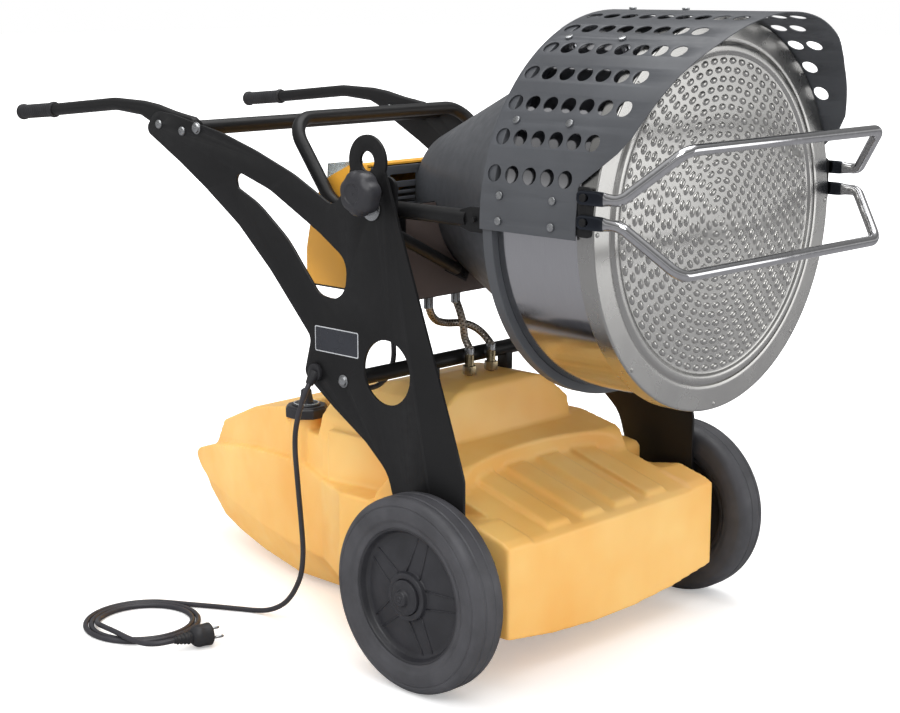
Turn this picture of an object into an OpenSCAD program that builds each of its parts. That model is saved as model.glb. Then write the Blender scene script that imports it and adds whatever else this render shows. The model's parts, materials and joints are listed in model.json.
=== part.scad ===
// Oil-fired infrared heater on a two-wheeled cart, in millimetres.
// X runs across the cart, +Y points from the emitter to the handles, Z is up from the floor.

/* [Cart] */
// Gap between the drum's band and a side plate, seen from the front
side_gap = 4; // [3:1:12]
// Thickness of a side plate
plate_t = 5; // [4:0.5:7]
// Outer diameter of the two cross tubes
cross_tube_d = 25; // [20:1:28]
// Wall of every steel tube
tube_wall = 2; // [1.5:0.25:2.5]
// Outer diameter of a handle arm
arm_d = 22; // [20:1:26]
// Length of a handle grip
grip_l = 110; // [90:5:130]
// Outer diameter of a handle grip
grip_d = 29; // [27:1:34]
// Bore of a lifting eye
eye_d = 30; // [24:1:40]

/* [Wheels] */
// Outer radius of a tyre
wheel_r = 150; // [145:1:155]
// Width of a wheel
wheel_w = 66; // [50:2:80]
// Outer radius of a rim
rim_r = 104; // [95:1:112]
// Diameter of the axle
axle_d = 20; // [16:1:24]
// Gap between a side plate and its wheel
wheel_gap = 8; // [5:1:12]

/* [Drum] */
// Height of the drum's centre line and of the tilt axis
pivot_z = 707; // [690:1:730]
// Outer radius of the polished band
band_r = 274; // [262:1:276]
// Wall of the polished band and of the rear shell
sheet = 2; // [1.5:0.25:3]
// Height of the front ring over the band
flange_rise = 11; // [6:1:13]
// Pitch of the dimple rings on the emitter disc
dimple_pitch = 13; // [11:0.5:16]
// Height of the perforated hood over the band
hood_rise = 16; // [15:1:22]
// Wall of the hood
hood_t = 1.5; // [1:0.25:2]
// Diameter of a hood hole
hood_hole_d = 24.5; // [18:0.5:27]
// Pitch of the hood holes along the drum
hood_pitch = 32; // [30:0.5:36]

/* [Guard and hoop] */
// Diameter of the chrome guard bars
guard_d = 14; // [10:1:18]
// Diameter of the tilt hoop's tube
hoop_d = 22; // [18:1:25]
// Outer diameter of the tilt knob
knob_d = 70; // [56:2:80]
// Diameter of the two pivot bolts
pivot_bolt_d = 12; // [10:1:16]

/* [Burner] */
// Width of the burner's cover
cover_w = 380; // [360:2:390]
// Wall of the cover
cover_wall = 3; // [2:0.5:4]
// Outer radius of the fan wheel
fan_r = 50; // [42:1:52]
// Width of the fan wheel
fan_w = 50; // [36:1:54]
// Outer radius of the blast tube
blast_r = 41; // [38:1:44]
// Number of fan blades
fan_blades = 28; // [16:1:32]

/* [Tank] */
// Width of the fuel tank
tank_w = 506; // [490:2:512]
// Wall of the tank
tank_wall = 4; // [3:0.5:6]
// Width of one foot rib on the tank's deck
rib_w = 50; // [30:2:60]
// Outer diameter of the filler cap
cap_d = 75; // [66:1:84]
// Outer diameter of the filler neck
neck_d = 52; // [46:1:56]

/* [Fuel and mains] */
// Diameter of a fuel hose
hose_d = 13; // [10:0.5:16]
// Diameter of the mains lead
cord_d = 8.5; // [7:0.25:9]
// Diameter of the plug's body
plug_d = 38; // [34:1:42]

/* [Hidden] */
$fn = 64;

black = [0.12, 0.12, 0.13];
rubber = [0.2, 0.2, 0.21];
dark_grey = [0.25, 0.26, 0.28];
yellow = [0.97, 0.69, 0.32];
cover_yellow = [0.9, 0.66, 0.15];
bright = [0.78, 0.79, 0.8];
zinc = [0.68, 0.7, 0.72];
brass = [0.78, 0.62, 0.3];
shroud_brown = [0.30, 0.26, 0.25];

// Running, sliding and seating clearances
run_gap = 0.05;
slip = 0.1;
seat_gap = 0.3;
// The overlap that a cut takes past a face
past = 1;

front_ring_r = band_r + flange_rise;
hood_r = band_r + hood_rise;
// The frame is as wide as the drum or the tank needs
tank_side = 25;
inner_w = max(2 * (band_r + side_gap), tank_w + 2 * tank_side);
plate_in = inner_w / 2;
plate_out = plate_in + plate_t;
axle_r = axle_d / 2;
axle_z = wheel_r;
wheel_in = plate_out + wheel_gap;
wheel_out = wheel_in + wheel_w;
pivot_y = 138;
grip_end_y = 1083;
guard_y = -404;
guard_front = guard_y - guard_d / 2;
// Half way along the whole heater, which the origin stands under
mid_y = (grip_end_y + guard_front) / 2;

function unit(v) = v / norm(v);
function turned(a) = a > 180 ? a - 360 : a < -180 ? a + 360 : a;

// Points of the arc that rounds corner p, [y, z, radius], between its neighbours
function corner(before, p, after) =
    let (q = [p[0], p[1]])
    let (a = unit([before[0], before[1]] - q), b = unit([after[0], after[1]] - q))
    let (half = acos(a * b) / 2)
    let (c = q + unit(a + b) * p[2] / sin(half))
    let (s = q + a * p[2] / tan(half) - c, e = q + b * p[2] / tan(half) - c)
    let (a0 = atan2(s[1], s[0]), sweep = turned(atan2(e[1], e[0]) - a0))
    let (n = max(2, ceil(abs(sweep) / 14)))
    [for (i = [0:n]) c + p[2] * [cos(a0 + sweep * i / n), sin(a0 + sweep * i / n)]];

// A closed outline whose corners, given as [y, z, radius], are rounded
function rounded(p) = [for (i = [0:len(p) - 1])
    for (q = p[i][2] > 0
        ? corner(p[(i + len(p) - 1) % len(p)], p[i], p[(i + 1) % len(p)])
        : [[p[i][0], p[i][1]]]) q];

// The same outline drawn in by s at every side, for points that run clockwise
function drawn_in(p, s) = [for (i = [0:len(p) - 1])
    let (a = unit(p[i] - p[(i + len(p) - 1) % len(p)]))
    let (b = unit(p[(i + 1) % len(p)] - p[i]))
    let (m = [a[1], -a[0]], n = [b[1], -b[0]])
    p[i] + (m + n) * s / (1 + m * n)];

// Places a piece drawn from the axle in the heater's own frame
module placed() translate([0, -mid_y, 0]) children();

// Extrudes a (y, z) outline across the cart from x0 to x1
module across(x0, x1) translate([x0, 0, 0]) rotate([90, 0, 90]) linear_extrude(x1 - x0) children();

// Extrudes an (x, z) outline along the cart from y0 to y1
module along(y0, y1) translate([0, y1, 0]) rotate([90, 0, 0]) linear_extrude(y1 - y0) children();

// Turns a (radius, y) outline about the drum's centre line
module drum_turned() translate([0, 0, pivot_z]) rotate([-90, 0, 0]) rotate_extrude($fn = 128) children();

// A round pin along X, from x0 to x1, at y and z
module pin_x(x0, x1, y, z, r) translate([x0, y, z]) rotate([0, 90, 0]) cylinder(h = x1 - x0, r = r);

// A round pin along Y, from y0 to y1, at x and z
module pin_y(y0, y1, x, z, r) translate([x, y0, z]) rotate([-90, 0, 0]) cylinder(h = y1 - y0, r = r);

// Does what follows on the left and again on the right
module both_sides() for (side = [0, 1]) mirror([side, 0, 0]) children();

// A hexagon head or nut along X, standing on x towards the side given
module hex_x(x, side, y, z, size, h) translate([x, y, z]) rotate([0, 90 * side, 0])
    cylinder(h = h, d = size / cos(30), $fn = 6);

module tube_ring(r, wall) difference() {
    circle(r = r);
    if (wall > 0) circle(r = r - wall);
}

// A straight tube from p to q, solid where wall is 0
module straight(p, q, r, wall) {
    d = q - p;
    translate(p) rotate([0, acos(d[2] / norm(d)), atan2(d[1], d[0])])
        linear_extrude(norm(d)) tube_ring(r, wall);
}

// The points of a way through the corners p, with bend radii b at the inner corners
function bend_points(before, q, after, b) =
    let (a = unit(before - q), c = unit(after - q), half = acos(a * c) / 2)
    let (centre = q + unit(a + c) * b / sin(half), u = unit(q + a * b / tan(half) - centre), v = -a)
    let (sweep = 180 - 2 * half, n = max(2, ceil(sweep / 11)))
    [for (i = [0:n]) centre + b * (u * cos(sweep * i / n) + v * sin(sweep * i / n))];
function bent_way(p, b) = concat([p[0]],
    [for (i = [1:len(p) - 2]) each bend_points(p[i - 1], p[i], p[i + 1], b[i - 1])], [p[len(p) - 1]]);

// A tube of n sides swept along points, each ring square to the way on, solid where wall is 0
function way(p, i) = unit(p[min(i + 1, len(p) - 1)] - p[max(i - 1, 0)]);
function ring_at(p, i, r, n, up) =
    let (t = way(p, i), u = unit(cross(up, t)), v = cross(t, u))
    [for (k = [0:n - 1]) p[i] + r * (u * cos(360 * (k + 0.5) / n) + v * sin(360 * (k + 0.5) / n))];
function side_faces(m, n, first, out) = [for (i = [0:m - 2], k = [0:n - 1])
    let (j = (k + 1) % n, b = first + i * n)
    each (out ? [[b + j, b + k, b + n + j], [b + n + j, b + k, b + n + k]]
        : [[b + k, b + j, b + n + j], [b + k, b + n + j, b + n + k]])];
module swept(p, r, n, up = [0, 0, 1]) polyhedron(
    points = [for (i = [0:len(p) - 1]) each ring_at(p, i, r, n, up)],
    faces = concat([[for (k = [0:n - 1]) k]], [[for (k = [n - 1:-1:0]) (len(p) - 1) * n + k]],
        side_faces(len(p), n, 0, true)));
module swept_pipe(p, r, wall, n, up) {
    m = len(p);
    all = m * n;
    polyhedron(
        points = concat([for (i = [0:m - 1]) each ring_at(p, i, r, n, up)],
            [for (i = [0:m - 1]) each ring_at(p, i, r - wall, n, up)]),
        faces = concat(side_faces(m, n, 0, true), side_faces(m, n, all, false),
            [for (k = [0:n - 1]) let (j = (k + 1) % n) each [[k, j, all + k], [all + k, j, all + j]]],
            [for (k = [0:n - 1]) let (j = (k + 1) % n, b = all - n)
                each [[b + j, b + k, all + b + j], [all + b + j, b + k, all + b + k]]]));
}
module bent_tube(p, b, r, wall, up, n = 16) {
    if (wall > 0) swept_pipe(bent_way(p, b), r, wall, n, up);
    else swept(bent_way(p, b), r, n, up);
}

// The side plates, their cut-outs and the holes for what is bolted to them
eye = [147, 776];
eye_pad_r = 39.5;
round_hole = [109, 460];
round_hole_r = 50;
lower_tube = [204, 433];
rear_tube = [550, 803];
cross_r = cross_tube_d / 2;
tube_bolt_d = 10;
arm_bolts = [[589, 796], [651, 804]];
arm_bolt_d = 8;
gland = [266, 438];
gland_hole_d = 20;
eye_pad = [for (i = [0:30]) let (a = 200 - 220 * i / 30)
    [eye[0] + eye_pad_r * cos(a), eye[1] + eye_pad_r * sin(a), 0]];
plate_outline = rounded(concat([[660, 826, 24], [690, 793, 12], [596, 744, 60], [530, 706, 100],
    [449, 654, 100], [372, 588, 120], [278, 492, 18], [295, 432, 14], [225, 386, 60],
    [156, 345, 60], [108, 305, 60], [88, 240, 60], [52, 190, 40], [52, 104, 40], [-51, 104, 40],
    [-51, 322, 30], [-26, 394, 60]], eye_pad, [[192, 738, 14],
    [222, 701, 22], [315, 745, 200], [406, 776, 200], [489, 799, 200], [613, 822, 100]]));
teardrop = rounded([[456, 742, 12], [450, 713, 8], [400, 692, 150], [330, 642, 150],
    [258, 562, 32], [198, 556, 34], [194, 622, 34], [257, 660, 100], [370, 716, 100]]);

module plate_holes() {
    polygon(teardrop);
    translate(eye) circle(d = eye_d);
    translate(round_hole) circle(r = round_hole_r);
    translate([pivot_y, pivot_z]) circle(r = pivot_bolt_d / 2 + slip);
    translate([0, axle_z]) circle(r = axle_r + slip);
    for (q = [lower_tube, rear_tube]) translate(q) circle(d = tube_bolt_d + 2 * slip);
    for (q = arm_bolts) translate(q) circle(d = arm_bolt_d + 2 * slip);
}

module plate_blank() difference() {
    polygon(plate_outline);
    plate_holes();
}

module side_plate_left() color(black) placed()
    across(-plate_out, -plate_in) difference() {
        plate_blank();
        translate(gland) circle(d = gland_hole_d + 2 * slip);
        translate(knob) circle(r = stud_r + slip);
    }

module side_plate_right() color(black) placed()
    across(plate_in, plate_out) plate_blank();

// A cross tube with a threaded plug in each end, which the frame bolts screw into
module cross_tube(at) placed() {
    difference() {
        pin_x(-plate_in, plate_in, at[0], at[1], cross_r);
        pin_x(-plate_in + plug_l, plate_in - plug_l, at[0], at[1], cross_r - tube_wall);
        pin_x(-plate_in - past, -plate_in + plug_l + past, at[0], at[1], tube_bolt_d / 2 + run_gap);
        pin_x(plate_in - plug_l - past, plate_in + past, at[0], at[1], tube_bolt_d / 2 + run_gap);
    }
}
plug_l = 30;
module rear_cross_tube() color(black) cross_tube(rear_tube);
module lower_cross_tube() color(black) cross_tube(lower_tube);

// A handle arm: round tube to the rear, flattened where it lies against the plate
arm_r = arm_d / 2;
arm_flat_t = 20;
arm_x = plate_in - arm_flat_t / 2;
arm_corners = [[-arm_x, 700, 828], [-arm_x, 790, 831], [-arm_x, 972, 812.5], [-arm_x, 1080, 803]];
module arm_left() {
    bent_tube(arm_corners, [160, 400], arm_r, tube_wall, [1, 0, 0]);
    difference() {
        across(-plate_in, -plate_in + arm_flat_t) polygon(rounded([[574, 828, 12], [566, 784, 14],
            [628, 774, 30], [690, 812, 60], [716, 817, 2], [716, 839, 2], [690, 843, 30]]));
        for (q = arm_bolts) pin_x(-plate_in - past, -arm_x + past + arm_flat_t, q[0], q[1],
            arm_bolt_d / 2 + slip);
    }
}
module handle_arm_left() color(black) placed() arm_left();
module handle_arm_right() color(black) placed() mirror([1, 0, 0]) arm_left();

// A grip is a sleeve with a collar at its front and a flange at its rear
grip_r = grip_d / 2;
grip_dir = unit(arm_corners[3] - arm_corners[2]);
module grip_left() color(rubber) placed() grip_at();
module grip_right() color(rubber) placed() mirror([1, 0, 0]) grip_at();
module grip_at() {
    rear = arm_corners[3] + grip_dir * (3 + seat_gap);
    translate(rear) rotate([90 + asin(grip_dir[2]), 0, 0]) difference() {
        rotate_extrude() polygon([[0, 0], [grip_r - 3, 0], [grip_r, 3], [grip_r, 9],
            [grip_r - 2, 12], [grip_r - 2, grip_l - 12], [grip_r, grip_l - 9],
            [grip_r, grip_l], [0, grip_l]]);
        translate([0, 0, 3]) cylinder(h = grip_l, r = arm_r + run_gap);
    }
}

// Bolts: two arm bolts a side, and one into each end of the cross tubes
head_h = 6;
module arm_bolt(q) {
    pin_x(plate_in - arm_flat_t - head_h, plate_out + 3, q[0], q[1], arm_bolt_d / 2);
    translate([plate_out, q[0], q[1]]) rotate([0, 90, 0]) rotate_extrude()
        polygon([[0, 0], [8, 0], [7, 2.5], [4, 4.5], [0, 5]]);
    hex_x(plate_in - arm_flat_t, -1, q[0], q[1], 13, head_h);
}
module tube_bolt(q) {
    pin_x(plate_in - plug_l + 5, plate_out + 2, q[0], q[1], tube_bolt_d / 2);
    pin_x(plate_out, plate_out + 1.5, q[0], q[1], 10);
    translate([plate_out + 1.5, q[0], q[1]]) rotate([0, 90, 0]) rotate_extrude()
        polygon([[0, 0], [8.5, 0], [7.5, 3], [4, 5], [0, 5.5]]);
}
module frame_bolts() color(zinc) placed() both_sides() {
    for (q = arm_bolts) arm_bolt(q);
    for (q = [lower_tube, rear_tube]) tube_bolt(q);
}

// Wheels on one fixed axle
axle_end = wheel_out + 4;
washer_t = 3;
module axle() color(zinc) placed() {
    pin_x(-axle_end, axle_end, 0, axle_z, axle_r);
    wheel_washers();
}
module wheel_washers() both_sides() {
    difference() {
        pin_x(plate_out, wheel_in - seat_gap, 0, axle_z, 18);
        pin_x(plate_out - past, wheel_in + past, 0, axle_z, axle_r + slip);
    }
    difference() {
        pin_x(wheel_out - hub_dish + seat_gap, wheel_out - hub_dish + washer_t, 0, axle_z, 17);
        pin_x(wheel_out - hub_dish - past, wheel_out, 0, axle_z, axle_r + slip);
    }
}

// Outlines of the wheel in (radius, distance out from its inner face)
hub_dish = 6;
hub_r = 33;
star_phase = 15;
module turned_wheel(side) translate([side * wheel_in, 0, axle_z]) rotate([0, 90 * side, 0])
    rotate_extrude($fn = 96) children();
module tyre(side) turned_wheel(side) polygon([[rim_r, 4], [rim_r + 12, 3], [rim_r + 18, 0],
    [wheel_r - 22, 0], [wheel_r - 9, 3], [wheel_r - 2, 10], [wheel_r, 18],
    [wheel_r, wheel_w - 18], [wheel_r - 2, wheel_w - 10], [wheel_r - 9, wheel_w - 3],
    [wheel_r - 20, wheel_w], [rim_r + 14, wheel_w - 1], [rim_r + 8, wheel_w - 4],
    [rim_r, wheel_w - 5]]);
module rim(side) {
    turned_wheel(side) polygon([[axle_r + run_gap, 0], [24, 0], [24, 24], [rim_r - 12, 26],
        [rim_r - 8, 6], [rim_r, 5], [rim_r, wheel_w - 6], [rim_r - 5, wheel_w - 7],
        [rim_r - 10, wheel_w - 18], [hub_r + 4, wheel_w - 12], [hub_r + 3, wheel_w - 5],
        [hub_r - 6, wheel_w - 4], [hub_r - 6, wheel_w - hub_dish - 2], [axle_r + run_gap, wheel_w - hub_dish - 2]]);
    for (i = [0:4]) for (lean = [-1, 1])
        mirror([side < 0 ? 1 : 0, 0, 0]) translate([wheel_in + wheel_w - 18, 0, axle_z])
            rotate([72 * i + star_phase + lean * 24, 0, 0]) translate([-1.5, 0, hub_r + 3])
                rotate([-lean * 28.5, 0, 0]) translate([0, -1.2, 0]) cube([8, 2.4, rim_r - hub_r - 10]);
}
module tyre_left() color(rubber) placed() tyre(-1);
module tyre_right() color(rubber) placed() tyre(1);
module rim_left() color(rubber) placed() rim(-1);
module rim_right() color(rubber) placed() rim(1);
module hub_cap(side) turned_wheel(side) polygon([[hub_r - 6, wheel_w - hub_dish - 2],
    [hub_r - 6, wheel_w - 1], [20, wheel_w + 2], [14, wheel_w + 3], [12, wheel_w + 9],
    [6, wheel_w + 11], [0, wheel_w + 11.5], [0, wheel_w + 8.5], [10, wheel_w + 7],
    [12, wheel_w], [20, wheel_w - 1], [hub_r - 9, wheel_w - 3], [hub_r - 9, wheel_w - hub_dish - 2]]);
module hub_cap_left() color(rubber) placed() hub_cap(-1);
module hub_cap_right() color(rubber) placed() hub_cap(1);

// The tank's hull by station: distance back, half width and height of the shoulder,
// half width and height of the chine, of the bilge and of the keel
tank_half = tank_w / 2;
hull = [[-114, 0, 221, 0, 84, 150, 69, 50, 62], [-40, 0, 226, 0, 84, 150, 60, 50, 48],
    [60, 0, 236, 0, 86, 150, 46, 50, 30], [160, 0, 240, 0, 90, 145, 36, 60, 14],
    [250, 0, 240, 0, 95, 140, 28, 60, 4], [345, 46, 234, 48, 98, 132, 24, 60, 0],
    [400, 58, 246, 66, 92, 120, 14, 60, 0], [500, 84, 240, 92, 90, 122, 16, 60, 4],
    [610, 112, 228, 120, 96, 108, 30, 56, 14],
    [690, 134, 212, 142, 104, 94, 44, 50, 26], [756, 154, 198, 160, 112, 80, 60, 44, 38],
    [810, 170, 182, 176, 122, 66, 92, 38, 84], [840, 180, 172, 184, 136, 56, 118, 30, 112],
    [860, 190, 160, 192, 148, 48, 140, 28, 136]];
function hull_ring(q, s) =
    let (y = q[0] + (q[0] < 0 ? s : q[0] > 850 ? -s : 0))
    let (a = [[tank_half - q[1] - s, q[2] - s], [tank_half - q[3] - s, q[4] + s],
        [q[5] - s, q[6] + s], [q[7] - s / 2, q[8] + s]])
    concat([for (p = a) [p[0], y, p[1]]], [for (i = [3:-1:0]) [-a[i][0], y, a[i][1]]]);
module hull_shell(s) {
    n = len(hull);
    polyhedron(points = [for (q = hull) each hull_ring(q, s)],
        faces = concat([[for (i = [0:7]) i]], [[for (i = [7:-1:0]) (n - 1) * 8 + i]],
            [for (k = [0:n - 2], i = [0:7], t = [0, 1]) let (j = (i + 1) % 8, b = k * 8)
                t == 0 ? [b + j, b + i, b + 8 + i] : [b + j, b + 8 + i, b + 8 + j]]));
}

// The raised deck with its arched lip, and the hump that the fuel stands in
deck_half = 205;
deck_side = [[-114, 170], [-114, 216], [-106, 226], [72, 276], [150, 276], [150, 170]];
lip_side = [[30, 190], [30, 268], [44, 296], [52, 303], [130, 320], [330, 320], [330, 190]];
hump_side = [[116, 150], [118, 322], [134, 394], [146, 403], [212, 408], [307, 387], [495, 324],
    [616, 297], [752, 243], [786, 196], [800, 176], [690, 150], [400, 110]];
hump_crown = [[0, 409], [58, 404], [102, 394], [128, 379], [150, 359], [184, 335], [198, 300], [204, 60]];
hump_front = concat([for (i = [7:-1:0]) [-hump_crown[i][0], hump_crown[i][1]]],
    [for (i = [1:7]) hump_crown[i]]);
hump_plan = [[-158, 100], [-163, 190], [-198, 300], [-198, 350], [-150, 530], [-62, 812], [62, 812],
    [150, 530], [198, 350], [198, 300], [163, 190], [158, 100]];
lip_r = 560;
module tank_deck(s) {
    across(-deck_half + s, deck_half - s) polygon(drawn_in(deck_side, s));
    difference() {
        across(-deck_half + s, deck_half - s) polygon(drawn_in(lip_side, s));
        translate([0, 70 - lip_r + s, 150]) cylinder(h = 200, r = lip_r, $fn = 160);
    }
}
module tank_hump(s) intersection() {
    across(-tank_half, tank_half) polygon(drawn_in(hump_side, s));
    along(90, 830) polygon(drawn_in(hump_front, s));
    translate([0, 0, 50]) linear_extrude(380) polygon(drawn_in(hump_plan, s));
}
shoulder_side = [[-30, 150], [30, 212], [30, 264], [38, 272], [110, 281], [150, 281], [180, 250], [180, 150]];
bolster_side = [[-114, 170], [-114, 224], [-100, 232], [-47, 246], [12, 236], [32, 236], [32, 170]];
module tank_sides(s) both_sides() {
    across(deck_half - 8 + s, tank_half - s) polygon(drawn_in(bolster_side, s));
    across(180 + s, tank_half - 10 - s) polygon(drawn_in(shoulder_side, s));
}
module tank_form(s) {
    hull_shell(s);
    tank_deck(s);
    tank_hump(s);
    tank_sides(s);
}

// The filler stands in a notch at the hump's left shoulder
filler = [-166, 424];
notch_z = 302;
neck_top = 333;
// The boss that the filler's tube runs down in, from the notch into the hull's shoulder
boss_low = 236;
module filler_place() translate([filler[0], filler[1], 0]) children();
keel_pad = 2;
axle_slot = axle_r + seat_gap;
module tank() color(yellow) placed() {
    difference() {
        union() {
            tank_form(0);
            foot_ribs();
            filler_place() translate([0, 0, boss_low]) cylinder(h = notch_z - boss_low, r = neck_d / 2 + 2);
            translate([-60, 326, 0]) cube([120, 74, keel_pad]);
        }
        difference() {
            tank_form(tank_wall);
            filler_place() cylinder(h = 400, r = neck_d / 2 + 6);
            axle_trough(tank_wall);
            tank_notch(tank_wall);
        }
        axle_trough(0);
        tank_notch(0);
        filler_place() translate([0, 0, 150]) cylinder(h = 400, r = neck_d / 2 - 6 + slip);
        for (x = [-1, 1]) translate([x * pipe_x, pipe_y, 300]) cylinder(h = 200, r = pipe_hole_r);
    }
    difference() {
        filler_place() translate([0, 0, notch_z - 1]) cylinder(h = neck_top - notch_z + 1, r = neck_d / 2);
        filler_place() translate([0, 0, 150]) cylinder(h = 400, r = neck_d / 2 - 6 + slip);
    }
}
module axle_trough(s) across(-tank_half - past, tank_half + past)
    polygon([[-axle_slot - s - 14, -past], [-axle_slot - s, 90], [-axle_slot - s, axle_z + axle_r + seat_gap + s],
        [axle_slot + s, axle_z + axle_r + seat_gap + s], [axle_slot + s, 90], [axle_slot + s + 14, -past]]);
module tank_notch(s) filler_place() rotate([0, 0, 14]) translate([-90 - s, -52 - s, notch_z - s])
    cube([90 + cap_d / 2 + 5 + 2 * s, 104 + 2 * s, 140]);
module foot_ribs() for (x = [-120, -40, 40, 120]) across(x - rib_w / 2, x + rib_w / 2)
    polygon([[-100, 215], [-98, 234], [-92, 238], [60, 281], [72, 276], [72, 255]]);

// Two saddles under the lower cross tube hold the hump down
saddle_w = 16;
module tank_saddles() color(black) placed() for (x = [-88, 88]) difference() {
    across(x - saddle_w / 2, x + saddle_w / 2) polygon([[lower_tube[0] - 10, 380],
        [lower_tube[0] - 10, lower_tube[1] - 4], [lower_tube[0] + 10, lower_tube[1] - 4],
        [lower_tube[0] + 10, 380]]);
    pin_x(x - saddle_w, x + saddle_w, lower_tube[0], lower_tube[1], cross_r + run_gap);
    translate([0, 0, seat_gap]) tank_hump(0);
}

// Filler neck, cap with its gauge and vent, and the two fuel pipes
neck_bore = neck_d / 2 - 9;
module filler_neck() color(black) placed() filler_place() difference() {
    union() {
        translate([0, 0, neck_top + run_gap]) cylinder(h = 3, r = neck_d / 2);
        translate([0, 0, 200]) cylinder(h = neck_top - 199, r = neck_d / 2 - 6);
    }
    translate([0, 0, 203]) cylinder(h = 200, r = neck_bore);
}
cap_z = neck_top - 12;
cap_h = 22;
cap_top = neck_top + 3 + seat_gap + 4;
module filler_cap() color(black) placed() filler_place() {
    difference() {
        union() {
            translate([0, 0, cap_z]) cylinder(h = cap_top - cap_z - 3, d = cap_d, $fn = 8);
            translate([0, 0, cap_top - 3]) cylinder(h = 3, d = cap_d - 6, $fn = 8);
        }
        translate([0, 0, cap_z - past]) cylinder(h = neck_top + 3 + seat_gap - cap_z + past, r = neck_d / 2 + seat_gap);
        translate([0, 0, cap_top - 2]) cylinder(h = 3, r = 24 + run_gap);
    }
}
module cap_gauge() color([0.8, 0.82, 0.82]) placed() filler_place() {
    translate([0, 0, cap_top - 2]) cylinder(h = 5, r = 24);
    translate([0, 0, cap_top + 3]) rotate_extrude() polygon([[0, 0], [12, 0], [11, 6], [9, 18], [9, 24], [0, 26]]);
}
pipe_x = 26;
pipe_y = 179;
pipe_hole_r = 5.1;
fitting_top = 440;
collar_z = lookup(pipe_x - 12, hump_crown) + seat_gap;
module fuel_pipes() color(brass) placed() for (x = [-pipe_x, pipe_x]) {
    pin_z(x, pipe_y, 60, fitting_top, 5);
    translate([x, pipe_y, collar_z]) cylinder(h = 14, d = 20 / cos(30), $fn = 6);
    pin_z(x, pipe_y, 420, fitting_top, 7.5);
}
module pin_z(x, y, z0, z1, r) translate([x, y, z0]) cylinder(h = z1 - z0, r = r);

// The tilt axis: shouldered pivot bolts, the head's brackets, and the knob that clamps the tilt
bracket_gap = 11;
bracket_t = 5;
bracket_out = plate_in - bracket_gap;
bracket_in = bracket_out - bracket_t;
pivot_r = pivot_bolt_d / 2;
knob = [124, 733];
stud_r = 4;
slot_r = norm(knob - [pivot_y, pivot_z]);
slot_mid = atan2(knob[1] - pivot_z, knob[0] - pivot_y);
tilt_up = 25;
tilt_down = 10;
web_y = 205;
cradle_half = cover_w / 2 - 4;
module pivot_bolts() color(zinc) placed() both_sides() {
    pin_x(bracket_in - seat_gap - 12, plate_out + 8, pivot_y, pivot_z, pivot_r);
    hex_x(plate_out + 2.5, 1, pivot_y, pivot_z, 19, 7);
    difference() {
        pin_x(plate_out, plate_out + 2.5, pivot_y, pivot_z, 19);
        pin_x(plate_out - past, plate_out + 5, pivot_y, pivot_z, pivot_r);
    }
    hex_x(bracket_in - seat_gap, -1, pivot_y, pivot_z, 19, 9);
    difference() {
        pin_x(bracket_out + seat_gap, plate_in, pivot_y, pivot_z, 13);
        pin_x(bracket_out, plate_in + past, pivot_y, pivot_z, pivot_r);
    }
}
module bracket(slotted) {
    across(bracket_in, bracket_out) difference() {
        polygon(rounded([[103, 752, 16], [168, 758, 30], [214, 704, 10], [214, 652, 10],
            [112, 652, 8], [103, 690, 20]]));
        translate([pivot_y, pivot_z]) circle(r = pivot_r + run_gap);
        if (slotted) translate([pivot_y, pivot_z]) arc_slot();
    }
    translate([cradle_half + 4, web_y, 600]) cube([bracket_out - cradle_half - 8, 5, 100]);
    translate([cradle_half, web_y - 30, 600]) cube([5, 35, 88]);
}
module arc_slot() {
    a0 = slot_mid - tilt_down - 3;
    a1 = slot_mid + tilt_up + 3;
    w = stud_r + 0.5;
    polygon(concat(arc_points([0, 0], slot_r + w, a0, a1), arc_points(slot_r * [cos(a1), sin(a1)], w, a1, a1 + 180),
        arc_points([0, 0], slot_r - w, a1, a0), arc_points(slot_r * [cos(a0), sin(a0)], w, a0 + 180, a0 + 360)));
}
function arc_points(c, r, from, to) = [for (i = [0:11]) let (a = from + (to - from) * (i + 0.5) / 12)
    c + r * [cos(a), sin(a)]];
module pivot_brackets() color(black) placed() {
    mirror([1, 0, 0]) bracket(true);
    bracket(false);
}
knob_in = plate_out + 13;
knob_out = plate_out + 55;
module tilt_knob() color(black) placed() translate([0, knob[0], knob[1]]) rotate([0, -90, 0]) {
    difference() {
        union() {
            translate([0, 0, knob_in]) linear_extrude(knob_out - knob_in - 6) {
                circle(r = knob_d / 2 - 7);
                for (i = [0:6]) rotate(i * 360 / 7) translate([knob_d / 2 - 9, 0]) circle(r = 9);
            }
            translate([0, 0, knob_out - 6]) cylinder(h = 6, r1 = knob_d / 2 - 8, r2 = knob_d / 2 - 12);
        }
        translate([0, 0, knob_out - 3]) cylinder(h = 4, r = 14);
    }
    translate([0, 0, plate_out + seat_gap]) cylinder(h = knob_in - plate_out, r = 9);
    translate([0, 0, bracket_in - 12]) cylinder(h = knob_in - bracket_in + 14, r = stud_r);
}
module knob_nut() color(zinc) placed() difference() {
    hex_x(-bracket_in + seat_gap, 1, knob[0], knob[1], 13, 7);
    pin_x(-bracket_in, -bracket_in + 9, knob[0], knob[1], stud_r + run_gap);
}

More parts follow.
